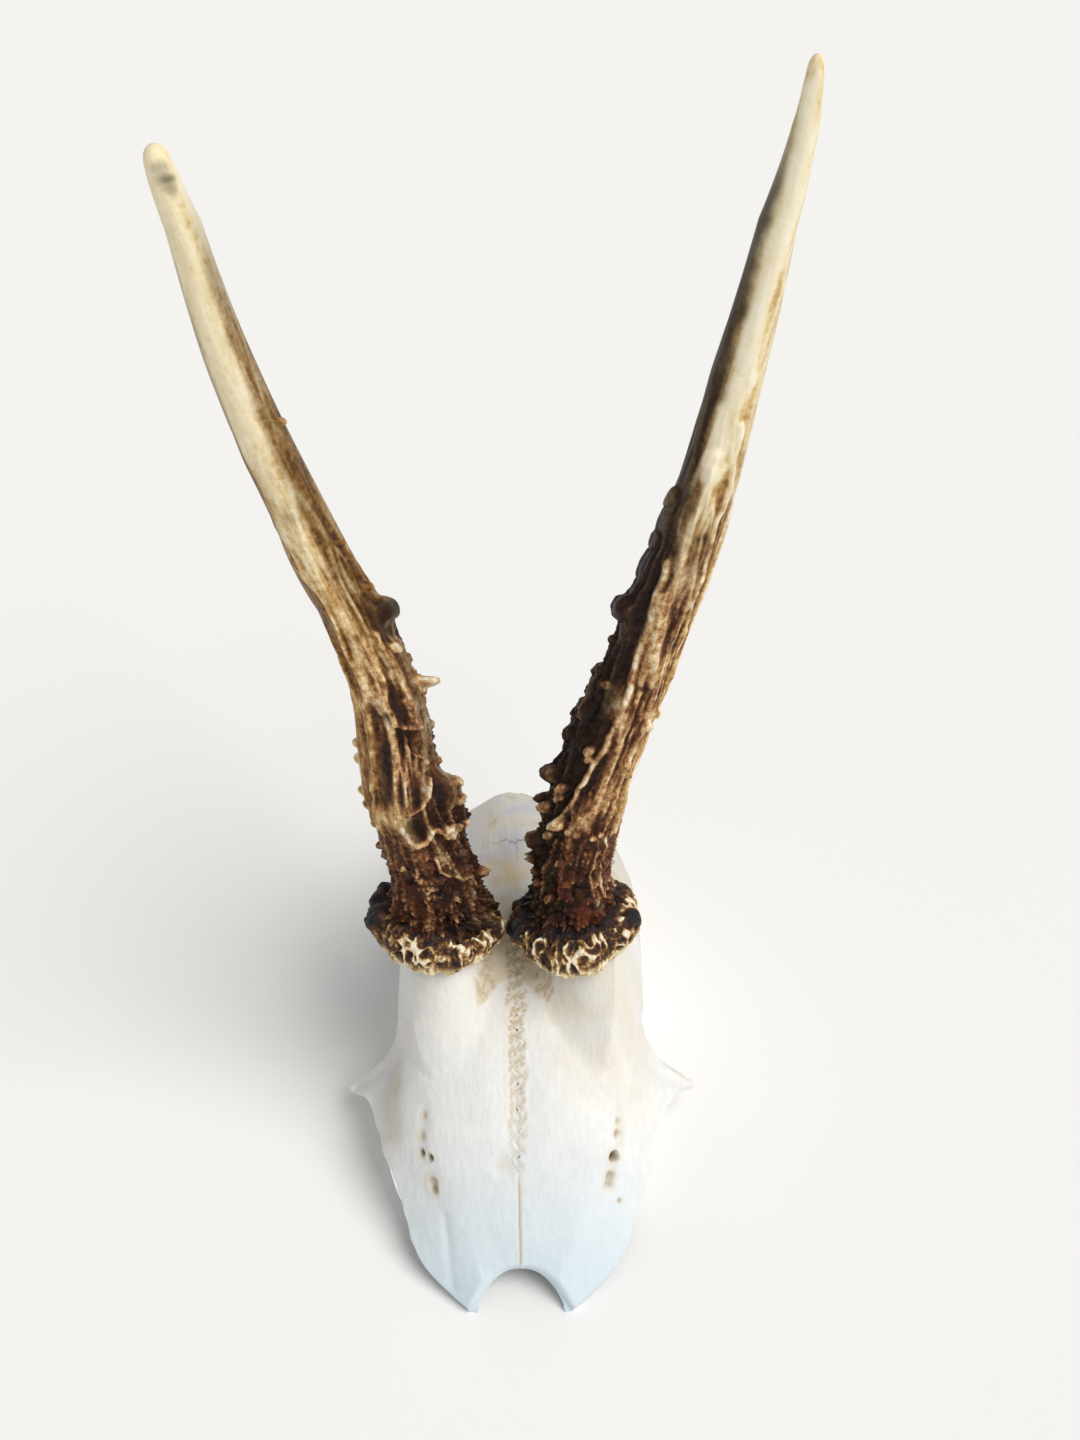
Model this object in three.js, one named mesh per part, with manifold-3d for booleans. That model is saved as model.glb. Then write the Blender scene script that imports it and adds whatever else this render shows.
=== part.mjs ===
// Roe deer skull plate (calvaria) with two spike antlers, life size, in millimetres.
// +Z is up, the animal faces -Y, and its left side is +X. The plate rests on its cut rim and on
// the two points of the forehead. The bones part at their sutures; the antlers are unbranched.
import * as THREE from "three";
import { mergeVertices } from "three/addons/utils/BufferGeometryUtils.js";
import Module from "manifold-3d";

const wasm = await Module();
wasm.setup();

// Driving dimensions
const SUTURE_GAP = 0.3; // open seam between neighbouring bones
const SQUAMOSAL_LEVEL = 18; // height of the seam between parietal and temporal bones
const BLADE_SIZE = 300; // of the blades that part the bones, larger than the skull
const ROOF_THICKNESS = 4.2; // bone over the brain, on the mid-line
const WALL_THICKNESS = 3.4; // bone round the cut rim
const EDGE_THICKNESS = 2; // free edges in front of the eyes
const BURR_RADIUS = 14.8; // coronet without its knobs
const BURR_HEIGHT = 11;
const BURR_KNOB = 1.7; // how far the coronet's knobs stand out
const BURR_WAVES = [[11, 1, 1], [7, 2, 0.6]]; // rings of knobs: count, turn, strength
const BURR_PROFILE = [ // half of the coronet's section: radius and height, as shares
  [0, 0], [0.68, 0], [0.92, 0.16], [1, 0.45], [1, 0.75], [0.93, 0.95], [0.84, 1], [0.72, 0.88], [0, 0.88],
];
const BURR_SIDES = 36;
const PEDICLE_RADIUS = 9.6;
const PEDICLE_FLARE = 1.2; // how much wider the pedicle is at its root
const PEDICLE_HEIGHT = 9.5;
const PEDICLE_SIDES = 20;
const PEDICLE_STEPS = 5; // rings of faces up its side
const FOOT_TILT_BACK = THREE.MathUtils.degToRad(16); // of the pedicle and coronet
const FOOT_TILT_IN = THREE.MathUtils.degToRad(8);
const LEAN_BACK = 0.35; // antler: travel to the back per height, at the burr
const LEAN_EASE = 0.00075; // how fast that lean straightens, per mm
const BEAM_SIDES = 16;
const BEAM_RINGS = 50;
const BEAM_CROWDING = 0.25; // how much closer the beam's rings lie at its foot
const SAME_POINT = 1e-3; // vertices closer than this are one

// Colours of the materials
const BONE = { color: "#eceeed", roughness: 0.55 };
const BRAINCASE = { color: "#d6d0c8", roughness: 0.6 };
const ANTLER = { color: "#b9966a", roughness: 0.5 };
const CORONET = { color: "#7d6248", roughness: 0.75 };

// Cross-sections of the skull, from the forehead's points to the foot of the occiput. Each has
//   mid   the mid-line point: y, z
//   brow  where the roof turns down to the side, as along the temporal line: x, z
//   ridge the widest edge (lacrimal edge, eye-socket rim, process, temple): x, y, z
//   base  where the wall ends below: x, y, z
//   flank power of the curve from brow to ridge: 1 straight, less is convex, more is hollow
//   hook  power of the wall's curve from ridge to base: 1 straight, 2 in under the ridge first
const SECTIONS = [
  {
    name: "nasal notch",
    mid: [-88, 9.2], brow: [8.6, 7.6], ridge: [12.6, -95.9, 2], base: [12.4, -95.5, 0],
    flank: 0.8, hook: 1,
  },
  {
    name: "nasal point",
    mid: [-80, 16.4], brow: [14, 13.2], ridge: [23.9, -85.3, 5.6], base: [23.7, -85.1, 3.4],
    flank: 1, hook: 1,
  },
  {
    name: "lacrimal corner",
    mid: [-69, 25.7], brow: [17, 21], ridge: [28.4, -74, 10.4], base: [27.6, -73.6, 7.8],
    flank: 1, hook: 1,
  },
  {
    name: "front of orbit",
    mid: [-60, 32.2], brow: [20, 26.5], ridge: [31.8, -66.8, 13.2], base: [20, -63, 0],
    flank: 1, hook: 2,
  },
  {
    name: "orbital rim",
    mid: [-51, 38], brow: [23, 31], ridge: [35.4, -54.6, 17.2], base: [20, -55, 0],
    flank: 1, hook: 2.2,
  },
  {
    name: "rear of orbit",
    mid: [-43.5, 42], brow: [25.2, 34.5], ridge: [38.6, -46, 14.4], base: [21.5, -46.5, 0],
    flank: 1.2, hook: 2.2,
  },
  {
    name: "process tip",
    mid: [-38.5, 44.3], brow: [26.4, 37], ridge: [43.8, -39.8, 8.7], base: [23.5, -41, 0],
    flank: 1.5, hook: 2.2,
  },
  {
    name: "process root",
    mid: [-34.5, 46], brow: [27, 39], ridge: [34.8, -37.2, 18], base: [25.5, -35, 0],
    flank: 1.4, hook: 1.4,
  },
  {
    name: "front of pedicle",
    mid: [-28, 48.3], brow: [27.4, 42.5], ridge: [31, -30.5, 21.5], base: [28, -29.5, 0],
    flank: 0.9, hook: 1,
  },
  {
    name: "pedicle",
    mid: [-19, 50.2], brow: [27, 44.5], ridge: [31.2, -23, 21.3], base: [29.3, -23.5, 0],
    flank: 0.8, hook: 1,
  },
  {
    name: "temple",
    mid: [-7, 50.8], brow: [23.5, 43], ridge: [31.2, -8, 19.4], base: [30.2, -17, 0],
    flank: 0.7, hook: 1,
  },
  {
    name: "coronal suture",
    mid: [8.5, 48.2], brow: [21.5, 40.5], ridge: [30.4, 8, 18.5], base: [30, -10, 0],
    flank: 0.65, hook: 1,
  },
  {
    name: "crown",
    mid: [22, 44], brow: [18.5, 37.5], ridge: [26.5, 21, 17.5], base: [26.4, 16, 0],
    flank: 0.6, hook: 1,
  },
  {
    name: "nuchal crest",
    mid: [36.5, 29.6], brow: [12.5, 26.5], ridge: [17, 33, 17], base: [21.5, 29, 0],
    flank: 0.6, hook: 1,
  },
  {
    name: "side of occiput",
    mid: [40, 15], brow: [7, 14.5], ridge: [12.5, 37, 10], base: [15, 36.8, 0],
    flank: 0.8, hook: 1,
  },
  {
    name: "foot of occiput",
    mid: [41.5, 0], brow: [0, 0], ridge: [0, 41.5, 0], base: [0, 41.5, 0],
    flank: 1, hook: 1,
  },
];
const LAST = SECTIONS.length - 1;
const sectionNumber = (name) => SECTIONS.findIndex((section) => section.name === name);
const FRONT_EDGE = sectionNumber("lacrimal corner"); // thin free edge as far as here
const CORONAL = sectionNumber("coronal suture");
const NUCHAL = sectionNumber("nuchal crest");
const BROW_SHARE = 4 / 7; // share of the way from mid-line to ridge that is roof
const ROOF_CURVE = 1.8; // power of the roof from mid-line to brow
const ARCH_POWER = 2.2; // power of the arch inside: 2 is an ellipse, more is boxier
const NOTCH_ARCH = 2.6; // power of the arched front edge between the forehead's points
const STEPS_ACROSS = 7; // faces from mid-line to ridge, and from ridge to base
const STEPS_ALONG = 2 * LAST; // faces from the forehead's points to the foot of the occiput

// The antlers. path: x and z of the centre line; girth: z and radius; knobs: the big pearls,
// as z, degrees round the beam (0 to +X, 90 to the front), how far out, and radius.
const ANTLERS = {
  right: {
    burr: { centre: [-19.8, -24.4, 53.4], turn: 0.4 },
    pedicleRoot: -18.6,
    path: [
      [-18.4, 62], [-18.9, 74], [-24.5, 101], [-27.3, 128],
      [-39.9, 167], [-49.5, 203], [-54.6, 236.5], [-57.3, 253.3],
    ],
    girth: [
      [60, 10.8], [74, 9.8], [88, 9.2], [115, 7.8], [141, 6.6],
      [167, 5.7], [203, 4.7], [236, 3.3], [248, 2.7], [253.3, 1],
    ],
    knobs: [
      [143, 5, 1.6, 4], [122, 12, 3.4, 2.6], [113, 70, 1.6, 3], [97, 10, 4.2, 3.8],
      [88, 350, 2.6, 3.6], [74, 10, 3.2, 3.2], [80, 185, 1.4, 3], [97, 180, 1.2, 3],
    ],
  },
  left: {
    burr: { centre: [15.4, -24.4, 53.4], turn: 1.7 },
    pedicleRoot: 18.6,
    path: [
      [14.2, 62], [13.9, 73], [19.1, 100], [28.8, 127], [40.4, 165],
      [48.2, 201], [54, 234], [57.7, 254], [58.8, 268],
    ],
    girth: [
      [60, 9.4], [73, 8.9], [100, 8.2], [127, 7.3], [165, 6.2],
      [201, 5.1], [234, 3.6], [254, 2.4], [268, 0.8],
    ],
    knobs: [
      [165, 178, 0.8, 4], [154, 182, 1, 4], [143, 180, 2.2, 3.6], [122, 185, 1.4, 3.2],
      [112, 190, 1, 3], [100, 182, 2.4, 2.8], [91, 180, 2, 2.8], [78, 182, 1.8, 3],
    ],
  },
};

// Smooth value between numbered stations, by a Catmull-Rom spline
function spline(values, t) {
  const i = Math.min(Math.floor(t), values.length - 2);
  const f = t - i;
  const before = values[Math.max(i - 1, 0)];
  const from = values[i];
  const to = values[i + 1];
  const after = values[Math.min(i + 2, values.length - 1)];
  const bend = 2 * before - 5 * from + 4 * to - after;
  const twist = 3 * from - before - 3 * to + after;
  return from + 0.5 * f * (to - before + f * (bend + f * twist));
}

const sectionValue = (key, t, axis) =>
  spline(SECTIONS.map((section) => (axis === undefined ? section[key] : section[key][axis])), t);

const power = (value, exponent) => Math.pow(Math.max(value, 0), exponent);

// The cross-section at t, with its values ready
function sectionAt(t) {
  return {
    mid: [0, 1].map((axis) => sectionValue("mid", t, axis)),
    brow: [0, 1].map((axis) => sectionValue("brow", t, axis)),
    ridge: [0, 1, 2].map((axis) => sectionValue("ridge", t, axis)),
    base: [0, 1, 2].map((axis) => Math.max(sectionValue("base", t, axis), axis === 2 ? 0 : -Infinity)),
    flank: sectionValue("flank", t),
    hook: sectionValue("hook", t),
  };
}

// Outside of the skull: across runs from 0 on the mid-line over BROW_SHARE at the brow to 1 on
// the ridge and 2 at the base, negative on the animal's right; t is the section number, with
// fractions between sections.
function outside(across, t) {
  const { mid, brow, ridge, base, flank, hook } = sectionAt(t);
  const side = Math.sign(across) || 1;
  const a = Math.abs(across);
  if (a > 1) {
    const down = a - 1;
    const x = ridge[0] + (base[0] - ridge[0]) * (1 - power(1 - down, hook));
    const y = ridge[1] + (base[1] - ridge[1]) * down;
    const z = ridge[2] + (base[2] - ridge[2]) * power(down, hook);
    return new THREE.Vector3(side * x, y, z);
  }
  let x = (brow[0] * a) / BROW_SHARE;
  let z = mid[1] + (brow[1] - mid[1]) * power(a / BROW_SHARE, ROOF_CURVE);
  if (a > BROW_SHARE) {
    const fall = (a - BROW_SHARE) / (1 - BROW_SHARE);
    x = brow[0] + (ridge[0] - brow[0]) * power(fall, flank);
    z = brow[1] + (ridge[2] - brow[1]) * (1 - power(1 - fall, flank));
  }
  const arched = THREE.MathUtils.lerp(NOTCH_ARCH, 1, THREE.MathUtils.clamp(t / FRONT_EDGE, 0, 1));
  const y = mid[0] + (ridge[1] - mid[0]) * power(x / Math.max(ridge[0], SAME_POINT), arched);
  return new THREE.Vector3(side * x, y, z);
}

// Inside of the skull: a thin plate under the free front, then one plain arch from the roof to
// the inner edge of the rim, drawn in at the back where the occiput closes it
function inside(across, t) {
  const { mid, ridge, base } = sectionAt(t);
  const side = Math.sign(across) || 1;
  const plate = outside(across / 2, t);
  const width = Math.abs(plate.x);
  plate.x -= side * Math.min(EDGE_THICKNESS, width) * (width / Math.max(ridge[0], SAME_POINT));
  plate.z = Math.max(plate.z - EDGE_THICKNESS, 0);
  const angle = (Math.abs(across) * Math.PI) / 4;
  const out = power(Math.sin(angle), 2 / ARCH_POWER);
  const up = power(Math.cos(angle), 2 / ARCH_POWER);
  const close = THREE.MathUtils.clamp((t - NUCHAL) / (LAST - NUCHAL), 0, 1);
  const forward = THREE.MathUtils.clamp(t - CORONAL, 0, 2) * 0.5 * WALL_THICKNESS;
  const top = Math.max(mid[1] - ROOF_THICKNESS * (1 - close), 0);
  const arch = new THREE.Vector3(
    side * Math.max(base[0] - WALL_THICKNESS, 0) * out,
    mid[0] + (base[1] - mid[0]) * out - forward,
    base[2] + (top - base[2]) * up,
  );
  return plate.lerp(arch, THREE.MathUtils.smoothstep(t, 0, FRONT_EDGE + 1));
}

// Moves each vertex of a geometry to place(x, y, z), then joins shared vertices
function mapped(geometry, place) {
  const position = geometry.attributes.position;
  for (let i = 0; i < position.count; i += 1) {
    const point = place(position.getX(i), position.getY(i), position.getZ(i));
    position.setXYZ(i, point.x, point.y, point.z);
  }
  geometry.deleteAttribute("normal");
  geometry.deleteAttribute("uv");
  const joined = mergeVertices(geometry, SAME_POINT);
  const corners = joined.index.array;
  const kept = [];
  for (let i = 0; i < corners.length; i += 3) {
    const [a, b, c] = corners.slice(i, i + 3);
    if (a !== b && b !== c && c !== a) kept.push(a, b, c); // drops faces closed to a line
  }
  joined.setIndex(kept);
  return joined;
}

// The whole shell of the skull, from the inside to the outside
function shellGeometry() {
  const block = new THREE.BoxGeometry(1, 1, 1, 4 * STEPS_ACROSS, STEPS_ALONG, 1);
  return mapped(block, (u, v, w) => {
    const across = 4 * u;
    const t = LAST * (v + 0.5);
    return w > 0 ? outside(across, t) : inside(across, t);
  });
}

// A geometry left as it is, apart from joined vertices
const plain = (geometry) => mapped(geometry, (x, y, z) => new THREE.Vector3(x, y, z));

const asSolid = (geometry) =>
  new wasm.Manifold(
    new wasm.Mesh({
      numProp: 3,
      vertProperties: new Float32Array(geometry.attributes.position.array),
      triVerts: new Uint32Array(geometry.index.array),
    }),
  );

function asGeometry(solid) {
  const mesh = solid.getMesh();
  const geometry = new THREE.BufferGeometry();
  geometry.setAttribute("position", new THREE.BufferAttribute(mesh.vertProperties, 3));
  geometry.setIndex(new THREE.BufferAttribute(mesh.triVerts, 1));
  return geometry;
}

function meshOf(name, geometry, { color, roughness }) {
  geometry.computeVertexNormals();
  const material = new THREE.MeshStandardMaterial({ color, roughness, metalness: 0 });
  const mesh = new THREE.Mesh(geometry, material);
  mesh.name = name;
  return mesh;
}

// Frame of an antler's foot: its middle, and the turn that sets +Z along the pedicle
function footOf({ burr }) {
  const [x, y, z] = burr.centre;
  const tiltIn = -Math.sign(x) * FOOT_TILT_IN;
  const turn = new THREE.Euler(-FOOT_TILT_BACK, tiltIn, 0);
  return new THREE.Matrix4().makeRotationFromEuler(turn).setPosition(x, y, z);
}

// Pedicle: the bony stump under the coronet, flared where it grows from the forehead
function pedicleGeometry(antler) {
  const profile = [new THREE.Vector2(0, -PEDICLE_HEIGHT)];
  for (let i = 0; i <= PEDICLE_STEPS; i += 1) {
    const f = i / PEDICLE_STEPS;
    const radius = PEDICLE_RADIUS + PEDICLE_FLARE * (1 - f) ** 2;
    profile.push(new THREE.Vector2(radius, -PEDICLE_HEIGHT * (1 - f)));
  }
  profile.push(new THREE.Vector2(0, 0));
  const turned = new THREE.LatheGeometry(profile, PEDICLE_SIDES).rotateX(Math.PI / 2);
  const slant = (antler.pedicleRoot - antler.burr.centre[0]) / PEDICLE_HEIGHT;
  const upright = Math.sign(antler.pedicleRoot) * Math.tan(FOOT_TILT_IN);
  const slanted = mapped(turned, (x, y, z) => new THREE.Vector3(x - (slant - upright) * z, y, z));
  return slanted.applyMatrix4(footOf(antler));
}

// Coronet: a flared, knobbly ring with a dished top that the beam stands in
function burrGeometry(antler) {
  const profile = BURR_PROFILE.map(
    ([r, h]) => new THREE.Vector2(r * BURR_RADIUS, SUTURE_GAP + h * BURR_HEIGHT),
  );
  const turned = new THREE.LatheGeometry(profile, BURR_SIDES).rotateX(Math.PI / 2);
  return mapped(turned, (x, y, z) => {
    const round = Math.atan2(y, x);
    const reach = power(Math.hypot(x, y) / BURR_RADIUS, 6); // only the rim is knobbly
    let wave = 0;
    for (const [count, turn, strength] of BURR_WAVES) {
      wave += strength * Math.cos(count * round + turn * antler.burr.turn);
    }
    const grow = 1 + (reach * BURR_KNOB * (0.5 + 0.5 * wave)) / BURR_RADIUS;
    return new THREE.Vector3(x * grow, y * grow, z);
  }).applyMatrix4(footOf(antler));
}

// Value at a height, between pairs of height and value
function atHeight(pairs, z) {
  const after = pairs.findIndex(([height]) => height > z);
  if (after < 0) return pairs.at(-1)[1];
  if (after === 0) return pairs[0][1];
  const [z0] = pairs[after - 1];
  const [z1] = pairs[after];
  return spline(pairs.map(([, value]) => value), after - 1 + (z - z0) / (z1 - z0));
}

// Beam: an unbranched tapering spike that leans back, with its pearls
function beamGeometry(antler) {
  const [, footY, footZ] = antler.burr.centre;
  const centreX = antler.path.map(([x, z]) => [z, x]);
  const z0 = footZ + BURR_HEIGHT * Math.cos(FOOT_TILT_BACK) + 2 * SUTURE_GAP;
  const z1 = antler.path.at(-1)[1];
  const centre = (z) => {
    const rise = z - footZ;
    const y = footY + LEAN_BACK * rise - LEAN_EASE * rise * rise;
    return new THREE.Vector3(atHeight(centreX, z), y, z);
  };
  const tube = new THREE.CylinderGeometry(1, 1, 1, BEAM_SIDES, BEAM_RINGS).rotateX(Math.PI / 2);
  return mapped(tube, (x, y, h) => {
    const f = h + 0.5;
    const z = THREE.MathUtils.lerp(z0, z1, f * (1 - BEAM_CROWDING * (1 - f)));
    const middle = centre(z);
    const along = centre(z + 0.5).sub(centre(z - 0.5)).normalize();
    const right = new THREE.Vector3(0, 1, 0).cross(along).normalize();
    const back = along.clone().cross(right);
    const round = Math.atan2(-y, x);
    let radius = atHeight(antler.girth, z) * Math.hypot(x, y);
    for (const [knobZ, degrees, out, size] of antler.knobs) {
      const turn = THREE.MathUtils.degToRad(degrees);
      const apart = Math.atan2(Math.sin(round - turn), Math.cos(round - turn)) * radius;
      radius += Math.hypot(x, y) * out * Math.exp(-(apart ** 2 + (z - knobZ) ** 2) / size ** 2);
    }
    middle.addScaledVector(right, radius * Math.cos(round));
    return middle.addScaledVector(back, -radius * Math.sin(round));
  });
}

// Sutures: thin flat blades part the shell into its bones. A blade that runs from side to side
// holds the mid-line point and the base point of its section.
function bladeThrough({ mid, base }) {
  const blade = new THREE.BoxGeometry(BLADE_SIZE, SUTURE_GAP, BLADE_SIZE);
  blade.rotateX(Math.atan2(base[1] - mid[0], mid[1] - base[2]));
  return plain(blade.translate(0, mid[0], mid[1]));
}

const byLeast = (axis) => (a, b) => a.boundingBox().min[axis] - b.boundingBox().min[axis];
const parted = (solid, blade, axis) => solid.subtract(asSolid(blade)).decompose().sort(byLeast(axis));

const [X, Y, Z] = [0, 1, 2];
const midBlade = plain(new THREE.BoxGeometry(SUTURE_GAP, BLADE_SIZE, BLADE_SIZE));
const levelBlade = plain(
  new THREE.BoxGeometry(BLADE_SIZE, BLADE_SIZE, SUTURE_GAP).translate(0, 0, SQUAMOSAL_LEVEL),
);
const shell = asSolid(shellGeometry());
const [forehead, behindForehead] = parted(shell, bladeThrough(SECTIONS[CORONAL]), Y);
const [frontalRight, frontalLeft] = parted(forehead, midBlade, X);
const [braincase, occipital] = parted(behindForehead, bladeThrough(SECTIONS[NUCHAL]), Y);
const lowerAndUpper = parted(braincase, levelBlade, Z);
const parietal = lowerAndUpper.pop();
const [temporalRight, temporalLeft] = lowerAndUpper.sort(byLeast(X));

const skull = new THREE.Group();

const sides = [
  { sideName: "right", frontal: frontalRight, temporal: temporalRight },
  { sideName: "left", frontal: frontalLeft, temporal: temporalLeft },
];
for (const { sideName, frontal, temporal } of sides) {
  const antler = ANTLERS[sideName];
  const withPedicle = frontal.add(asSolid(pedicleGeometry(antler)));
  skull.add(meshOf(`frontal_${sideName}`, asGeometry(withPedicle), BONE));
  skull.add(meshOf(`temporal_${sideName}`, asGeometry(temporal), BRAINCASE));
  skull.add(meshOf(`burr_${sideName}`, burrGeometry(antler), CORONET));
  skull.add(meshOf(`antler_${sideName}`, beamGeometry(antler), ANTLER));
}
skull.add(meshOf("parietal", asGeometry(parietal), BRAINCASE));
skull.add(meshOf("occipital", asGeometry(occipital), BRAINCASE));

// The origin lies under the middle of the whole, on the surface it rests on
const whole = new THREE.Group();
whole.add(skull);
const box = new THREE.Box3().setFromObject(skull);
const middle = box.getCenter(new THREE.Vector3());
skull.position.set(-middle.x, -middle.y, -box.min.z);

export default whole;
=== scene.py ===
"""Roe deer skull plate with two spike antlers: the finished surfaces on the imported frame."""

import math

import bmesh
import bpy
import numpy as np
from mathutils import Matrix, Vector, noise
from mathutils.kdtree import KDTree


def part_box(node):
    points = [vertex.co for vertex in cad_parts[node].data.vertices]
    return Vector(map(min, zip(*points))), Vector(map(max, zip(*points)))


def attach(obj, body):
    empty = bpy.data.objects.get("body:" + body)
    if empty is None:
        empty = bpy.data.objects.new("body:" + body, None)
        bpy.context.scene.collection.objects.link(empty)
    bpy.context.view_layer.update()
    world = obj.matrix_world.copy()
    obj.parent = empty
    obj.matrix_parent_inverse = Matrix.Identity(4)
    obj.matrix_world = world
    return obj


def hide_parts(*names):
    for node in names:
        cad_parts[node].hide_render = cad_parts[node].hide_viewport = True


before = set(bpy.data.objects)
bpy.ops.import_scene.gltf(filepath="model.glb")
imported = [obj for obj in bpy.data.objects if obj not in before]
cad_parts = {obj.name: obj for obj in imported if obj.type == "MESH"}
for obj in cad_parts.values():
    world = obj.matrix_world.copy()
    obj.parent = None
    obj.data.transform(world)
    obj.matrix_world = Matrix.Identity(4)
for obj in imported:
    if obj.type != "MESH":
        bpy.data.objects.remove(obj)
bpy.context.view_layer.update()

# ---------------------------------------------------------------- Shell of the skull plate
# The roof of a roe buck's skull, bleached bone 2 to 4 mm thick, sawn off flat through the eye
# sockets and the braincase. It is lofted through cross-sections, outside and inside, from the
# two points at the nose to the back of the head, in millimetres, and then cut into its bones.
KEYS = (  # a section's middle, brow, ridge and base, then how its roof falls and its wall curves
    "mid_y", "mid_z", "brow_x", "brow_z", "ridge_x", "ridge_y", "ridge_z",
    "base_x", "base_y", "base_z", "flank", "hook",
)
SECTIONS = {
    "nasal notch": (-88, 9.2, 8.6, 7.6, 12.6, -95.9, 2, 12.4, -95.5, 0, 0.8, 1),
    "nasal point": (-80, 16.4, 14, 13.2, 23.9, -85.3, 5.6, 23.7, -85.1, 3.4, 1, 1),
    "lacrimal corner": (-69, 25.7, 17, 21, 28.4, -74, 10.4, 27.6, -73.6, 7.8, 1, 1),
    "front of orbit": (-60, 32.2, 20, 26.5, 31.8, -66.8, 13.2, 20, -63, 0, 1, 2),
    "orbital rim": (-51, 38, 23, 31, 35.4, -54.6, 17.2, 20, -55, 0, 1, 2.2),
    "rear of orbit": (-43.5, 42, 25.2, 34.5, 38.6, -46, 14.4, 21.5, -46.5, 0, 1.2, 2.2),
    "process tip": (-38.5, 44.3, 26.4, 37, 43.8, -39.8, 8.7, 23.5, -41, 0, 1.5, 2.2),
    "process root": (-34.5, 46, 27, 39, 34.8, -37.2, 18, 25.5, -35, 0, 1.4, 1.4),
    "front of pedicle": (-28, 48.3, 27.4, 42.5, 31, -30.5, 21.5, 28, -29.5, 0, 0.9, 1),
    "pedicle": (-19, 50.2, 27, 44.5, 31.2, -23, 21.3, 29.3, -23.5, 0, 0.8, 1),
    "temple": (-7, 50.8, 23.5, 43, 31.2, -8, 19.4, 30.2, -17, 0, 0.7, 1),
    "coronal suture": (8.5, 48.2, 21.5, 40.5, 30.4, 8, 18.5, 30, -10, 0, 0.65, 1),
    "crown": (22, 44, 18.5, 37.5, 26.5, 21, 17.5, 26.4, 16, 0, 0.6, 1),
    "nuchal crest": (36.5, 29.6, 12.5, 26.5, 17, 33, 17, 21.5, 29, 0, 0.6, 1),
    "side of occiput": (40, 15, 7, 14.5, 12.5, 37, 10, 15, 36.8, 0, 0.8, 1),
    "foot of occiput": (41.5, 0, 0, 0, 0, 41.5, 0, 0, 41.5, 0, 1, 1),
}
STATIONS = np.array(list(SECTIONS.values()), float)
NAMES = list(SECTIONS)
LAST = len(NAMES) - 1
FRONT_EDGE = NAMES.index("lacrimal corner")
CORONAL = NAMES.index("coronal suture")
NUCHAL = NAMES.index("nuchal crest")
NOSE_END = STATIONS[0, KEYS.index("ridge_y")]
REAR_END = STATIONS[LAST, KEYS.index("mid_y")]
BROW_SHARE = 4 / 7  # share of the way from mid-line to ridge that is roof
ROOF_CURVE = 1.8
ARCH_POWER = 2.2
NOTCH_ARCH = 2.6
ROOF_THICKNESS = 4.2
WALL_THICKNESS = 3.4
EDGE_THICKNESS = 2
SQUAMOSAL_LEVEL = 18
SKULL_COLUMNS = 270  # faces from one cut rim over the roof to the other
SKULL_ROWS = 300  # faces from the points at the nose to the back of the head
PEDICLE_RADIUS = 9.4
PEDICLE_HEIGHT = 9.5
PEDICLE_SLOPE = 2.6  # drop for each millimetre outwards from the pedicle
PEDICLE_FILLET = 8
PEDICLE_FADE = (17, 24)  # distances between which the root runs out into the roof
PEDICLE_DEPTH = 26  # how far below the coronet the root may reach
FOOT_TILT_BACK = math.radians(16)
FOOT_TILT_IN = math.radians(8)
FEET = {"right": (-19.8, -24.4, 53.4), "left": (15.4, -24.4, 53.4)}  # middles under the coronets
PEDICLE_ROOTS = {"right": -18.6, "left": 18.6}
MM = 0.001

# The plate's own millimetres sit in the row frame by the nose points and the mid-line gap
nose_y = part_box("frontal_left")[0].y
mid_x = (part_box("frontal_left")[0].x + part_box("frontal_right")[1].x) / 2
SHIFT = Vector((mid_x / MM, nose_y / MM - NOSE_END, 0))


def smoothstep(low, high, value):
    f = np.clip((value - low) / (high - low), 0, 1)
    return f * f * (3 - 2 * f)


def smooth_between(rows, i, f):
    """The smooth curve through the rows, at the share f of the way from row i to the next."""
    before, start, end, after = (rows[np.clip(i + k, 0, len(rows) - 1)] for k in (-1, 0, 1, 2))
    bend = 2 * before - 5 * start + 4 * end - after
    twist = 3 * start - before - 3 * end + after
    return start + 0.5 * f * (end - before + f * (bend + f * twist))


def section_at(t):
    """The named values of the cross-section at t, a section number with a fraction."""
    i = np.clip(np.floor(t).astype(int), 0, LAST - 1)
    values = dict(zip(KEYS, smooth_between(STATIONS, i, (t - i)[:, None]).T))
    values["base_z"] = np.maximum(values["base_z"], 0)
    return values


def behind_suture(y, z, station):
    """How far each point lies behind a suture that slants from the roof to the base."""
    s = dict(zip(KEYS, STATIONS[station]))
    return y - s["mid_y"] - (z - s["mid_z"]) * (s["mid_y"] - s["base_y"]) / s["mid_z"]


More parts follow.
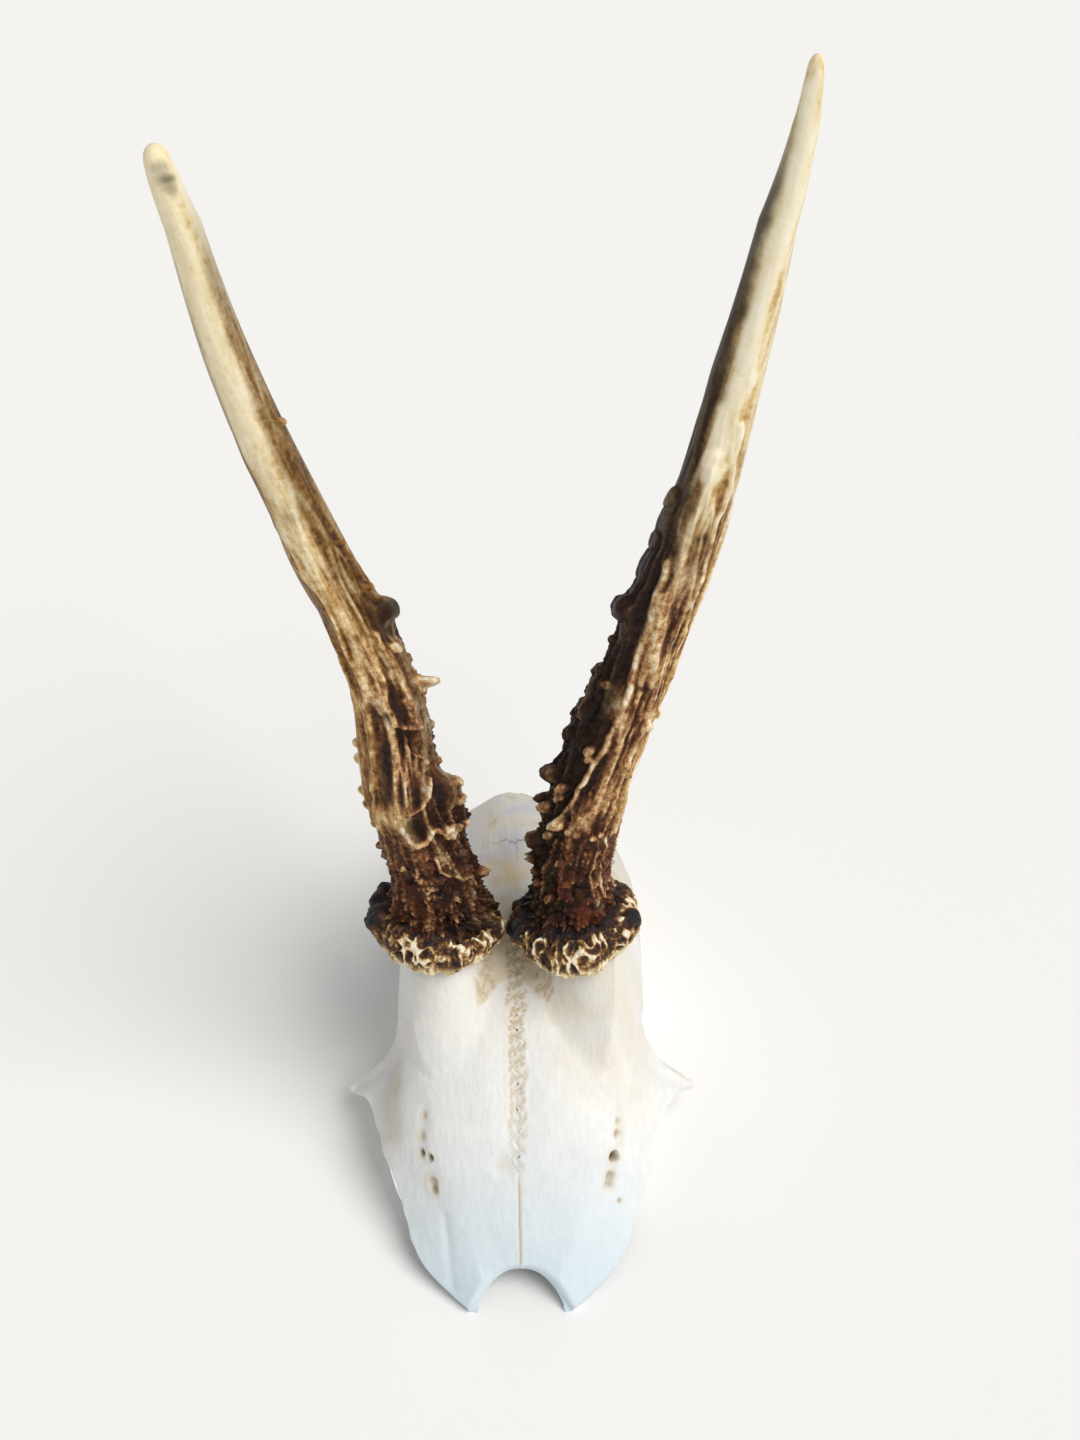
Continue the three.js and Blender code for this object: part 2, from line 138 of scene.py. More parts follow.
def outside(across, t):
    """Outer surface: across is 0 on the mid-line, 1 on the ridge, 2 at the base."""
    s = section_at(t)
    down = np.clip(across - 1, 0, 1)
    roof = np.clip(across / BROW_SHARE, 0, 1)
    fall = np.clip((across - BROW_SHARE) / (1 - BROW_SHARE), 0, 1)
    x = s["brow_x"] * roof + (s["ridge_x"] - s["brow_x"]) * fall ** s["flank"]
    z = s["mid_z"] + (s["brow_z"] - s["mid_z"]) * roof**ROOF_CURVE
    z = z + (s["ridge_z"] - s["brow_z"]) * (1 - (1 - fall) ** s["flank"])
    arched = NOTCH_ARCH + (1 - NOTCH_ARCH) * smoothstep(-0.3, FRONT_EDGE + 0.5, t)
    share = np.clip(x / np.maximum(s["ridge_x"], MM), 0, 1)
    y = s["mid_y"] + (s["ridge_y"] - s["mid_y"]) * share**arched
    wall = across > 1
    x = np.where(wall, s["ridge_x"] + (s["base_x"] - s["ridge_x"]) * (1 - (1 - down) ** s["hook"]), x)
    y = np.where(wall, s["ridge_y"] + (s["base_y"] - s["ridge_y"]) * down, y)
    z = np.where(wall, s["ridge_z"] + (s["base_z"] - s["ridge_z"]) * down ** s["hook"], z)
    return np.stack([x, y, z], 1)


def inside(across, t):
    """Inner surface: a thin plate under the nose end, then one arch over the brain."""
    s = section_at(t)
    plate = outside(across / 2, t)
    plate[:, 0] -= np.minimum(EDGE_THICKNESS, plate[:, 0]) * plate[:, 0] / np.maximum(s["ridge_x"], MM)
    plate[:, 2] = np.maximum(plate[:, 2] - EDGE_THICKNESS, 0)
    angle = across * math.pi / 4
    out = np.sin(angle) ** (2 / ARCH_POWER)
    up = np.clip(np.cos(angle), 0, 1) ** (2 / ARCH_POWER)
    close = np.clip((t - NUCHAL) / (LAST - NUCHAL), 0, 1)
    forward = np.clip(t - CORONAL, 0, 2) * 0.5 * WALL_THICKNESS
    top = np.maximum(s["mid_z"] - ROOF_THICKNESS * (1 - close), 0)
    arch = np.stack([
        np.maximum(s["base_x"] - WALL_THICKNESS, 0) * out,
        s["mid_y"] + (s["base_y"] - s["mid_y"]) * out - forward,
        s["base_z"] + (top - s["base_z"]) * up,
    ], 1)
    blend = smoothstep(0, FRONT_EDGE + 1, t)[:, None]
    return plate + (arch - plate) * blend


def foot_matrix(side):
    """Turn and place of an antler's foot: +Z runs up the pedicle."""
    centre = Vector(FEET[side])
    tilt_in = -math.copysign(FOOT_TILT_IN, centre.x)
    turn = Matrix.Rotation(-FOOT_TILT_BACK, 4, "X") @ Matrix.Rotation(tilt_in, 4, "Y")
    return Matrix.Translation(centre) @ turn


def in_foot(points, side):
    """The points as seen from an antler's foot, in millimetres."""
    back = np.array(foot_matrix(side).inverted())
    return points @ back[:3, :3].T + back[:3, 3]


shell = bmesh.new()
across_layer = shell.verts.layers.float.new("across")
station_layer = shell.verts.layers.float.new("station")
skin_layer = shell.verts.layers.float.new("skin")  # 1 outside, 0 inside
made = bmesh.ops.create_grid(shell, x_segments=SKULL_COLUMNS, y_segments=SKULL_ROWS, size=0.5)
spots = np.array([v.co[:2] for v in made["verts"]])
u = np.abs(spots[:, 0]) * 2
across = np.where(u < 2 / 3, 1.5 * u, 1 + 3 * (u - 2 / 3))
station = LAST * np.clip(spots[:, 1] + 0.5, 0, 1)
for v, a, t in zip(made["verts"], across, station):
    v[across_layer], v[station_layer] = a, t
walled = bmesh.ops.extrude_face_region(shell, geom=shell.faces[:])
outer = [item for item in walled["geom"] if isinstance(item, bmesh.types.BMVert)]
for surface, verts, is_skin in ((inside, made["verts"], 0.0), (outside, outer, 1.0)):
    across = np.array([v[across_layer] for v in verts])
    station = np.array([v[station_layer] for v in verts], float)
    placed = surface(across, station)
    placed[:, 0] *= [math.copysign(1, v.co.x) for v in verts]
    for v, point in zip(verts, placed):
        v.co = point
        v[skin_layer] = is_skin
bmesh.ops.remove_doubles(shell, verts=shell.verts, dist=MM)
lip_edges = [e for e in shell.edges if e.verts[0][skin_layer] != e.verts[1][skin_layer]]
cut = bmesh.ops.subdivide_edges(shell, edges=lip_edges, cuts=3, use_grid_fill=True)
bmesh.ops.recalc_face_normals(shell, faces=shell.faces)


def smooth(verts, times):
    """Evens out these vertices of the shell."""
    for _ in range(times):
        bmesh.ops.smooth_vert(
            shell, verts=verts, factor=0.5, use_axis_x=True, use_axis_y=True, use_axis_z=True
        )


# The brow's crease and the lip in front of the eyes are rounded; the sawn rim stays sharp
brow = [
    v for v in shell.verts
    if v[skin_layer] > 0.9 and 0.2 < v[across_layer] < 0.96 and 0.3 < v[station_layer] < 12
]
smooth(brow, 80)
lip_points = {item for item in cut["geom_inner"] if isinstance(item, bmesh.types.BMVert)}
lip_points |= {e.other_vert(v) for v in lip_points for e in v.link_edges}
round_lip = [v for v in lip_points if v.co.z > 1.5]
smooth(round_lip, 3)

# Supraorbital holes and their grooves on the two sides, each x, y, z, radius, depth, how brown
HOLES = (
    (-22.9, -57.9, 28.2, 0.7, 0.5, 0.2), (-23.4, -61.6, 25, 0.9, 0.5, 0.2),
    (-23.7, -65, 22.5, 0.8, 1.7, 0.9), (-21.4, -66.5, 23.1, 0.8, 1.6, 0.8),
    (-20.9, -71, 19, 1.3, 0.9, 0.35), (-20.7, -72.4, 17.9, 1.1, 1.1, 0.5),
    (23.9, -61.5, 24.7, 0.9, 1, 0.5), (24.3, -59, 26.3, 0.7, 0.5, 0.3),
    (22.9, -66.2, 22, 1.2, 2.4, 1), (21.9, -70, 19.2, 1.1, 0.8, 0.45),
    (21.5, -71.4, 18.1, 1, 0.6, 0.35), (23.9, -73.8, 14.1, 0.5, 0.6, 0.5),
)
DENT = (-3.7, -68.7, 24)  # a shallow hollow beside the mid-line
GROOVES = (  # from, to, half width, depth
    ((-23, -57, 28.6), (-23.6, -65.5, 22.2), 1.6, 0.35),
    ((24.3, -56, 28), (24.6, -64, 22.4), 1, 0.8),
    ((22.9, -67, 21.4), (21.4, -72.5, 17.4), 1, 0.5),
    ((-18.2, -77.5, 14.5), (-16.4, -91, 4.6), 1.1, 0.35),
)
MID_BAND_X = -0.3  # middle of the suture's band
MEANDERS = (  # the suture's cord: middle x, reach to the sides, from y, to y, length of a loop, seed
    (MID_BAND_X, 2.4, -73, -14, 2.9, 1.5), (-7.6, 2.6, -37, -15, 4, 4.5), (6.4, 2.6, -37, -15, 4, 8.5),
)
SEAM_WIDTH = 0.2
CORD_REACH = 0.9  # distance over which the bone rises beside the sunk line of the cord


def is_fine(co):
    """Where the shell needs smaller faces: mid-line suture, holes and pedicles."""
    if abs(co.x) < 4.2 + 7 * (co.y > -38) and co.y < -18:
        return 2
    if any((co - Vector(hole[:3])).length < hole[3] + 1.4 for hole in HOLES):
        return 2
    if any((co - Vector(FEET[side])).length < 16.5 for side in FEET):
        return 1
    return 0


fineness = {v: is_fine(v.co) if v[skin_layer] > 0.9 and v.co.z > 2 else 0 for v in shell.verts}
for cuts in (1, 2):
    patch = [e for e in shell.edges if fineness.get(e.verts[0]) == fineness.get(e.verts[1]) == cuts]
    bmesh.ops.subdivide_edges(shell, edges=patch, cuts=cuts, use_grid_fill=True)
shell_mesh = bpy.data.meshes.new("skull_shell")
shell.to_mesh(shell_mesh)
shell.free()


def points_of(mesh):
    points = np.empty(len(mesh.vertices) * 3)
    mesh.vertices.foreach_get("co", points)
    return points.reshape(-1, 3)


def normals_of(mesh):
    normals = np.empty(len(mesh.vertices) * 3, np.float32)
    mesh.vertices.foreach_get("normal", normals)
    return normals.reshape(-1, 3).astype(float)


def set_points(mesh, points):
    mesh.vertices.foreach_set("co", points.ravel())
    mesh.update()


def set_values(mesh, name, values):
    """Keeps one number for each vertex, for the materials to read."""
    layer = mesh.attributes.get(name) or mesh.attributes.new(name, "FLOAT", "POINT")
    layer.data.foreach_set("value", np.asarray(values, np.float32))


def lumps(points, size, seed=0, octaves=3):
    """Cloudy noise, about -1 to 1, whose largest lumps are size millimetres wide."""
    shifted = np.asarray(points) / size + np.array([17.3, 5.1, 9.7]) * (seed + 1)
    return np.array([noise.fractal(p, 1.0, 2.0, octaves) for p in shifted])


def hill(points, centre, radius):
    """1 at the centre, falling to 0 past the radius, with a flat top and steep sides."""
    apart = np.linalg.norm(points - np.array(centre), axis=1)
    return np.exp(-((apart / radius) ** 4))


def along_line(points, start, end):
    """Distance of each point from the line between two points."""
    start, end = np.array(start, float), np.array(end, float)
    f = np.clip((points - start) @ (end - start) / ((end - start) @ (end - start)), 0, 1)
    return np.linalg.norm(points - (start + f[:, None] * (end - start)), axis=1)


points = points_of(shell_mesh)
skin = np.empty(len(points), np.float32)
shell_mesh.attributes["skin"].data.foreach_get("value", skin)

# Pedicles: the roof rises into a stump under each coronet, with a rounded root
for side in FEET:
    seen = in_foot(points, side)
    slant = (PEDICLE_ROOTS[side] - FEET[side][0]) / PEDICLE_HEIGHT
    upright = math.copysign(math.tan(FOOT_TILT_IN), PEDICLE_ROOTS[side])
    away = np.hypot(seen[:, 0] + (slant - upright) * np.minimum(seen[:, 2], 0), seen[:, 1])
    stump = -np.maximum(away - PEDICLE_RADIUS, 0) * PEDICLE_SLOPE
    mix = np.clip(0.5 + 0.5 * (stump - seen[:, 2]) / PEDICLE_FILLET, 0, 1)
    risen = stump * mix + seen[:, 2] * (1 - mix) + PEDICLE_FILLET * mix * (1 - mix)
    near = (skin > 0.9) & (away < PEDICLE_FADE[1]) & (seen[:, 2] > -PEDICLE_DEPTH)
    lift = np.where(near, np.minimum(risen, 0) - seen[:, 2], 0)
    lift = np.maximum(lift, 0) * (1 - smoothstep(*PEDICLE_FADE, away))
    up = np.array(foot_matrix(side))[:3, 2]
    points = points + lift[:, None] * up
set_points(shell_mesh, points)
x, y, z = points.T
normals = normals_of(shell_mesh)

# Relief of the outside, in millimetres along the normal
on_roof = smoothstep(0.5, 0.9, normals[:, 2])
relief = np.zeros(len(points))
for side in (-1, 1):
    column = np.exp(-(((x - side * (19 + 0.04 * (y + 24))) / 7) ** 2)) * smoothstep(-66, -34, y)
    relief += (0.9 if side < 0 else 0.35) * column * (1 - smoothstep(-22, -10, y))
valley = np.exp(-((x / 6.5) ** 2)) * smoothstep(-72, -52, y) * (1 - smoothstep(-30, -16, y))
relief -= 0.9 * valley
relief -= 0.6 * hill(points, DENT, 3)
rim_wave = smoothstep(0.8, 0.2, normals[:, 2]) * smoothstep(-84, -74, y) * (1 - smoothstep(-52, -46, y))
relief += 0.9 * rim_wave * lumps(points * [0.2, 1, 0.2], 5.5, 14, 2)
relief += 0.16 * lumps(points, 9, 1) + 0.05 * lumps(points * [1, 0.35, 0.35], 1.6, 2)
relief -= 0.5 * hill(points, (19.5, -56, 31.5), 3.2) * (0.5 + 0.5 * lumps(points, 1.6, 3))
pit = np.zeros(len(points))
warm = np.zeros(len(points))
for hx, hy, hz, radius, depth, brown in HOLES:
    hollow = hill(points, (hx, hy, hz), radius)
    relief -= depth * hollow
    relief += 0.12 * hill(points, (hx, hy, hz), radius * 1.8)
    pit = np.maximum(pit, brown * hill(points, (hx, hy, hz), radius * 1.05))
    warm = np.maximum(warm, 0.45 * hill(points, (hx, hy, hz), radius * 2))
for start, end, half_width, depth in GROOVES:
    groove = np.exp(-((along_line(points, start, end) / half_width) ** 2))
    relief -= depth * groove
    warm = np.maximum(warm, 0.3 * groove * (depth > 0.4))

# The suture between the frontals: a worm-like band on the mid-line, wider between the pedicles
to_side = np.abs(x + 0.8)
lobe_foot = -37.5 + np.abs(to_side - 8.6) * np.where(to_side < 8.6, 0.9, 3)
lobe_foot += 1.1 * lumps(points, 3, 6, 2)
in_lobes = smoothstep(lobe_foot - 0.7, lobe_foot + 0.7, y) * (1 - smoothstep(10, 11.5, to_side))
in_lobes *= (1 - smoothstep(-16, -8, y)) * smoothstep(0.3, 0.6, normals[:, 2])
band_half = 2.6 + 0.4 * lumps(points * [0, 1, 0], 8, 5) - 1.2 * smoothstep(-60, -72, y)
in_band = np.exp(-(((x - MID_BAND_X) / band_half) ** 8)) * smoothstep(-73.5, -71, y)
in_band *= 1 - smoothstep(-20, -14, y)
wormy = np.maximum(in_band * on_roof, in_lobes)
cord = KDTree(6000)
steps = np.linspace(0, 1, 2000)
for centre_x, reach, start, end, loop, seed in MEANDERS:
    turns = (end - start) / loop
    phase = 2 * math.pi * turns * steps
    ys = start + (end - start) * steps
    sway = np.array([noise.noise((seed, k, 0.3)) for k in ys / (0.9 * loop)])
    xs = centre_x + reach * (0.72 + 0.75 * sway) * np.sin(phase) + 0.5 * sway
    ys = ys + 0.34 * loop * np.sin(2 * phase) + 0.25 * loop * np.cos(3 * phase + seed)
    for k, (cx, cy) in enumerate(zip(xs, ys)):
        cord.insert((cx, cy, 0), k)
cord.balance()
off_cord = np.full(len(x), 9.0)
for k in np.nonzero(wormy > 0.02)[0]:
    off_cord[k] = cord.find((x[k], y[k], 0))[2]
seam = np.exp(-((off_cord / SEAM_WIDTH) ** 2)) * wormy
relief += 0.19 * np.cos(np.minimum(off_cord, CORD_REACH) * math.pi / CORD_REACH) * -wormy
warm = np.maximum(warm, 0.62 * in_lobes)
fading = 0.5 + 0.5 * smoothstep(-69, -40, y)
pit = np.maximum(pit, 0.36 * seam * fading)
warm = np.maximum(warm, (0.33 * in_band + 0.5 * seam) * on_roof * fading)
ahead = 1 - smoothstep(-74, -71, y)
middle = np.exp(-((x / 0.4) ** 2)) * smoothstep(0.3, 0.9, normals[:, 2]) * ahead
relief -= 0.25 * middle
warm = np.maximum(warm, 0.8 * middle)
pit = np.maximum(pit, 0.25 * np.exp(-((x / SEAM_WIDTH) ** 2)) * ahead)
coronal = behind_suture(y, z, CORONAL)
pit = np.maximum(pit, 0.5 * np.exp(-((coronal / SEAM_WIDTH) ** 2)) * smoothstep(14, 9, np.abs(x)))
warm = np.maximum(warm, 0.62 * hill(points, (-1, -6, 50), 12) * (0.6 + lumps(points, 5, 12)))
# Painted warm shade in the dent beside the mid-line
warm = np.maximum(warm, 0.3 * hill(points, DENT, 2.6))
# Painted warm shade on the slope in front of the left pedicle
warm = np.maximum(warm, 0.4 * hill(points, (10, -38, 44), 5))
# Two low humps on the back of the braincase
humps = 1.5 * np.exp(-(((x + 5.5) / 5) ** 2)) + 2.5 * np.exp(-(((x - 11) / 5) ** 2))
relief += humps * smoothstep(14, 28, y) * smoothstep(14, 24, z)
relief *= skin

# Warm stains in front of the left pedicle, how grey the braincase is, and painted shade low on the sides and
# below the right process
stain_and_shade = smoothstep(-66, -40, y) * (1 - smoothstep(-22, -16, y)) * smoothstep(4, 12, x)
stain_and_shade *= 1 - smoothstep(28, 36, x)
warm = np.maximum(warm, 0.42 * stain_and_shade * (0.7 + 0.5 * lumps(points, 9, 11)))
everywhere = smoothstep(-60, -36, y) * (1 - smoothstep(-20, -12, y))
everywhere *= 1 - smoothstep(27, 34, np.abs(x))
warm = np.maximum(warm, 0.12 * everywhere)
# Painted shade: a grey-brown streak below the right process
shaded = np.exp(-((along_line(points, (-31.5, -45, 23), (-31, -56, 19)) / 6.5) ** 2))
shaded *= smoothstep(-26, -30, x)
pit = np.maximum(pit, 0.16 * shaded)
grey = smoothstep(-12, 2, y)
# Painted shade greys the lower sides, most on the right
lower_side_shade = smoothstep(36, 20, z) * smoothstep(-50, -38, y)
grey = np.maximum(grey, 0.55 * lower_side_shade * np.where(x < 0, 1, 0.35))
grey = np.maximum(grey, 0.8 * shaded)
points = points + normals * relief[:, None]
points[:, 2] = np.maximum(points[:, 2], 0)
points[:, 1] = np.clip(points[:, 1], NOSE_END, REAR_END)
set_points(shell_mesh, points)
for name, values in (("warm", warm), ("pit", pit), ("grey", grey)):
    set_values(shell_mesh, name, np.clip(values, 0, 1) * skin)


def wandered(points):
    """Moves the bone near each suture along the surface, so that the cut lines wander."""
    x, y, z = points.T
    moved = points.copy()
    wide = 0.08 + 0.6 * smoothstep(-74, -70, y) * (1 - smoothstep(-24, -18, y))
    winding = np.sin(2.6 * y + 2 * np.sin(0.9 * y)) + 0.6 * np.sin(6.1 * y + 1)
    moved[:, 0] += 0.6 * wide * winding * np.exp(-((x / 2.6) ** 2))
    coronal = behind_suture(y, z, CORONAL)
    winding = np.sin(1.5 * x) + 0.6 * np.sin(4.3 * x + 1) - 0.6 * np.sin(0.41 * x)
    moved[:, 1] += 0.55 * winding * np.exp(-((coronal / 3) ** 2))
    nuchal = behind_suture(y, z, NUCHAL)
    moved[:, 2] += 0.25 * winding * np.exp(-((nuchal / 2.5) ** 2)) * smoothstep(1, 6, z)
    level = z - SQUAMOSAL_LEVEL
    winding = np.sin(0.9 * y) + 0.5 * np.sin(2.9 * y + 2)
    moved[:, 2] += 0.5 * winding * np.exp(-((level / 2.5) ** 2)) * smoothstep(0, 6, y)
    return moved


def suture_plane(station):
    """Point on a suture's plane, and the direction to the back of the head."""
    s = dict(zip(KEYS, STATIONS[station]))
    point = Vector((0, s["mid_y"], s["mid_z"]))
    slope = Vector((0, s["base_y"] - s["mid_y"], -s["mid_z"]))
    return point, slope.cross(Vector((-1, 0, 0))).normalized()


HAIR_GAP = 0.02  # what stays open between two bones at a suture
coronal_point, coronal_back = suture_plane(CORONAL)
nuchal_point, nuchal_back = suture_plane(NUCHAL)
ORIGIN, LEFT, UP = Vector((0, 0, 0)), Vector((1, 0, 0)), Vector((0, 0, 1))
level_point = Vector((0, 0, SQUAMOSAL_LEVEL))
braincase_cuts = [(coronal_point, -coronal_back), (nuchal_point, nuchal_back)]
BONE_CUTS = {  # for each bone, the planes that it lies behind
    "frontal_left": [(coronal_point, coronal_back), (ORIGIN, -LEFT)],
    "frontal_right": [(coronal_point, coronal_back), (ORIGIN, LEFT)],
    "parietal": [*braincase_cuts, (level_point, -UP)],
    "temporal_left": [*braincase_cuts, (level_point, UP), (ORIGIN, -LEFT)],
    "temporal_right": [*braincase_cuts, (level_point, UP), (ORIGIN, LEFT)],
    "occipital": [(nuchal_point, -nuchal_back)],
}


# ---------------------------------------------------------------- Bone
# Bleached, degreased bone: matt white, with a painted bluish cast of sky light towards the nose,
# ivory to tan at the sutures and pedicles, and grey-white with violet and yellowish clouds over the
# brain, with painted shade in a few places. Boiling leaves a fine grain along the bone with small pores.
def linear(hex_colour):
    """sRGB hex to linear RGBA."""
    channels = [int(hex_colour[i : i + 2], 16) / 255 for i in (1, 3, 5)]
    return [c / 12.92 if c <= 0.04045 else ((c + 0.055) / 1.055) ** 2.4 for c in channels] + [1]


def add_node(tree, kind, inputs=None, stops=None, **settings):
    """Adds a node. An input is a value or an output socket; stops are a ramp's places and colours."""
    node = tree.nodes.new(kind)
    for name, value in settings.items():
        setattr(node, name, value)
    for name, value in (inputs or {}).items():
        if isinstance(value, bpy.types.NodeSocket):
            tree.links.new(value, node.inputs[name])
        else:
            node.inputs[name].default_value = value
    if stops:
        ramp = node.color_ramp.elements
        while len(ramp) < len(stops):
            ramp.new(1)
        for element, (place, colour) in zip(ramp, stops):
            element.position = place
            element.color = linear(colour)
    return node


def new_material(name):
    """A material, its node tree and its Principled node."""
    material = bpy.data.materials.new(name)
    material.use_nodes = True
    tree = material.node_tree
    return material, tree, tree.nodes["Principled BSDF"]


bone, tree, finish = new_material("bleached_bone")
place = add_node(tree, "ShaderNodeTexCoord").outputs["Object"]
GRAIN = 1 / 0.0011  # bone fibres about 1 mm apart where they show
PORES = 1 / 0.0016
CLOUDS = 1 / 0.014
stretched = add_node(tree, "ShaderNodeMapping", {"Vector": place, "Scale": (1, 0.22, 0.4)}).outputs["Vector"]
fibres = add_node(
    tree, "ShaderNodeTexNoise", {"Vector": stretched, "Scale": GRAIN, "Detail": 5.0, "Roughness": 0.6}
).outputs["Fac"]
clouds = add_node(
    tree, "ShaderNodeTexNoise", {"Vector": place, "Scale": CLOUDS, "Detail": 3.0, "Distortion": 0.6}
).outputs["Fac"]
pores = add_node(tree, "ShaderNodeTexVoronoi", {"Vector": place, "Scale": PORES}).outputs["Distance"]
white = add_node(
    tree, "ShaderNodeValToRGB", {"Fac": fibres}, stops=[(0.3, "#e9ebea"), (0.7, "#f5f5f2")]
).outputs["Color"]
# Painted bluish cast of sky light, growing towards the nose
nose = add_node(
    tree, "ShaderNodeMapRange",
    {"Value": add_node(tree, "ShaderNodeSeparateXYZ", {"Vector": place}).outputs["Y"],
     "From Min": (-62 + SHIFT.y) * MM, "From Max": (-92 + SHIFT.y) * MM, "To Min": 0.0, "To Max": 0.8},
).outputs["Result"]
bluish = add_node(
    tree, "ShaderNodeMixRGB", {"Fac": nose, "Color1": white, "Color2": linear("#cfe2ee")}
).outputs["Color"]
cloudy = add_node(
    tree, "ShaderNodeValToRGB", {"Fac": clouds},
    stops=[(0.28, "#c2c2ca"), (0.42, "#d3d1d0"), (0.58, "#dad4c6"), (0.74, "#b9aa88")],
).outputs["Color"]
colour = bluish
# grey also holds painted shade on the lower sides, and pit the painted shade below the right process
for name, over in (("grey", cloudy), ("warm", linear("#dcc595")), ("pit", linear("#6e5a3c"))):
    share = add_node(tree, "ShaderNodeAttribute", attribute_name=name).outputs["Fac"]
    colour = add_node(
        tree, "ShaderNodeMixRGB", {"Fac": share, "Color1": colour, "Color2": over}
    ).outputs["Color"]
tree.links.new(colour, finish.inputs["Base Color"])
finish.inputs["Roughness"].default_value = 0.5
finish.inputs["Specular IOR Level"].default_value = 0.35
fine = add_node(
    tree, "ShaderNodeBump", {"Height": fibres, "Strength": 0.4, "Distance": 0.0003}
).outputs["Normal"]
pored = add_node(
    tree, "ShaderNodeBump", {"Height": pores, "Normal": fine, "Strength": 0.12, "Distance": 0.0003}
).outputs["Normal"]
tree.links.new(pored, finish.inputs["Normal"])


def finished_piece(name, mesh, material, sharp=40):
    """Turns a mesh in the plate's millimetres into a piece of the row frame."""
    mesh.name = name
    mesh.transform(Matrix.Scale(MM, 4) @ Matrix.Translation(SHIFT))
    mesh.materials.append(material)
    mesh.shade_smooth()
    mesh.set_sharp_from_angle(angle=math.radians(sharp))
    piece = bpy.data.objects.new(name + "_finished", mesh)
    bpy.context.scene.collection.objects.link(piece)
    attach(piece, "root")
    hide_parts(name)
    return piece


for name, cuts in BONE_CUTS.items():
    piece = bmesh.new()
    piece.from_mesh(shell_mesh)
    for point, outwards in cuts:
        bmesh.ops.bisect_plane(
            piece, geom=piece.verts[:] + piece.edges[:] + piece.faces[:], dist=1e-4,
            plane_co=point - outwards * HAIR_GAP / 2, plane_no=outwards, clear_outer=True,
        )
        open_edges = [e for e in piece.edges if e.is_boundary]
        bmesh.ops.holes_fill(piece, edges=open_edges, sides=0)
    mesh = bpy.data.meshes.new(name)
    piece.to_mesh(mesh)
    piece.free()
    set_points(mesh, wandered(points_of(mesh)))
    finished_piece(name, mesh, bone)
bpy.data.meshes.remove(shell_mesh)

# ---------------------------------------------------------------- Coronets
# The burr round the foot of each antler: a wreath of knobs that grew as one with the beam, dark
# from blood and bark, with knobs rubbed to ivory. A ring is lofted round the foot and its rim
# swells into rows of knobs between narrow clefts.
BURR_RADIUS = 14.8
BURR_HEIGHT = 11
BURR_KNOB = 1.2
BURR_LIFT = 0.3  # of the coronet over the pedicle
RIM_UNROLLED = 14  # radii on which the noise of the rim and of the upper side is laid out
TOP_UNROLLED = 13
WORN_SIDE = math.radians(62)  # the direction in which the knobs are rubbed palest
BURR_COLUMNS = 480
BURR_ROWS = 160
BURR_PROFILE = (  # radius and height as shares, from the middle below over the rim to the middle
    (0, 0.02), (0.5, 0.02), (0.7, 0.03), (0.88, 0.12), (0.97, 0.34), (1, 0.55), (0.98, 0.75),
    (0.9, 0.9), (0.8, 0.97), (0.68, 1.04), (0.4, 1.1), (0, 1.1),
)
BURRS = {  # turn of the knobs, and their seed
    "right": (0.4, 21),
    "left": (1.7, 22),
}
BLOBS = {  # smooth lumps of the rim: degrees round, height, out, radius
    "right": ((168, 8.5, 2, 3), (188, 7.5, 1.8, 2.8), (205, 9, 1.8, 2.8), (0, 6, 0.9, 5)),
    "left": ((165, 9, 1.5, 2.6), (20, 9, 1, 2.4), (185, 6, 0.8, 5), (95, 3.5, 1.6, 7), (10, 5, 0.6, 5)),
}


def even_profile(corners, count):
    """Points at even steps along a smooth line through the corners."""
    corners = np.array(corners, float)
    f = np.linspace(0, len(corners) - 1, 40 * len(corners))
    i = np.clip(f.astype(int), 0, len(corners) - 2)
    line = smooth_between(corners, i, (f - i)[:, None])
    length = np.concatenate([[0], np.cumsum(np.linalg.norm(np.diff(line, axis=0), axis=1))])
    even = np.linspace(0, length[-1], count)
    return np.stack([np.interp(even, length, line[:, k]) for k in (0, 1)], 1)


def tube_mesh(columns, rows, place):
    """A grid rolled into a tube, closed at both ends: place(round, along) gives its points."""
    bm = bmesh.new()
    made = bmesh.ops.create_grid(bm, x_segments=columns, y_segments=rows, size=0.5)
    spots = np.array([v.co[:2] for v in made["verts"]]) + 0.5
    for v, point in zip(made["verts"], place(2 * math.pi * spots[:, 0], spots[:, 1])):
        v.co = point
    bmesh.ops.remove_doubles(bm, verts=bm.verts, dist=1e-4)
    bmesh.ops.recalc_face_normals(bm, faces=bm.faces)
    mesh = bpy.data.meshes.new("tube")
    bm.to_mesh(mesh)
    bm.free()
    return mesh


def cells(points, size, seed):
    """Rounded cells as in a knobbly crust: 1 in a cell's middle, 0 in the clefts."""
    shifted = points / np.array(size) + seed * 3.7
    found = [noise.voronoi(p)[0] for p in shifted]
    return np.array([min((d[1] - d[0]) * 1.7, 1) for d in found])


horn_crust, tree, finish = new_material("antler_crust")
place = add_node(tree, "ShaderNodeTexCoord").outputs["Object"]
speck = add_node(
    tree, "ShaderNodeTexNoise", {"Vector": place, "Scale": 1 / 0.0012, "Detail": 6.0, "Roughness": 0.75}
).outputs["Fac"]
crest = add_node(tree, "ShaderNodeAttribute", attribute_name="crest").outputs["Fac"]
specks = add_node(tree, "ShaderNodeMath", {0: speck, 1: 0.5}, operation="SUBTRACT").outputs[0]
worn = add_node(tree, "ShaderNodeMath", {0: crest, 1: specks}, operation="ADD").outputs[0]
dark = add_node(
    tree, "ShaderNodeValToRGB", {"Fac": worn},
    stops=[
        (0.06, "#17171a"), (0.26, "#33201a"), (0.42, "#64401f"),
        (0.58, "#ab8450"), (0.7, "#e6d0a2"), (0.82, "#f8f0dc"),
    ],
).outputs["Color"]
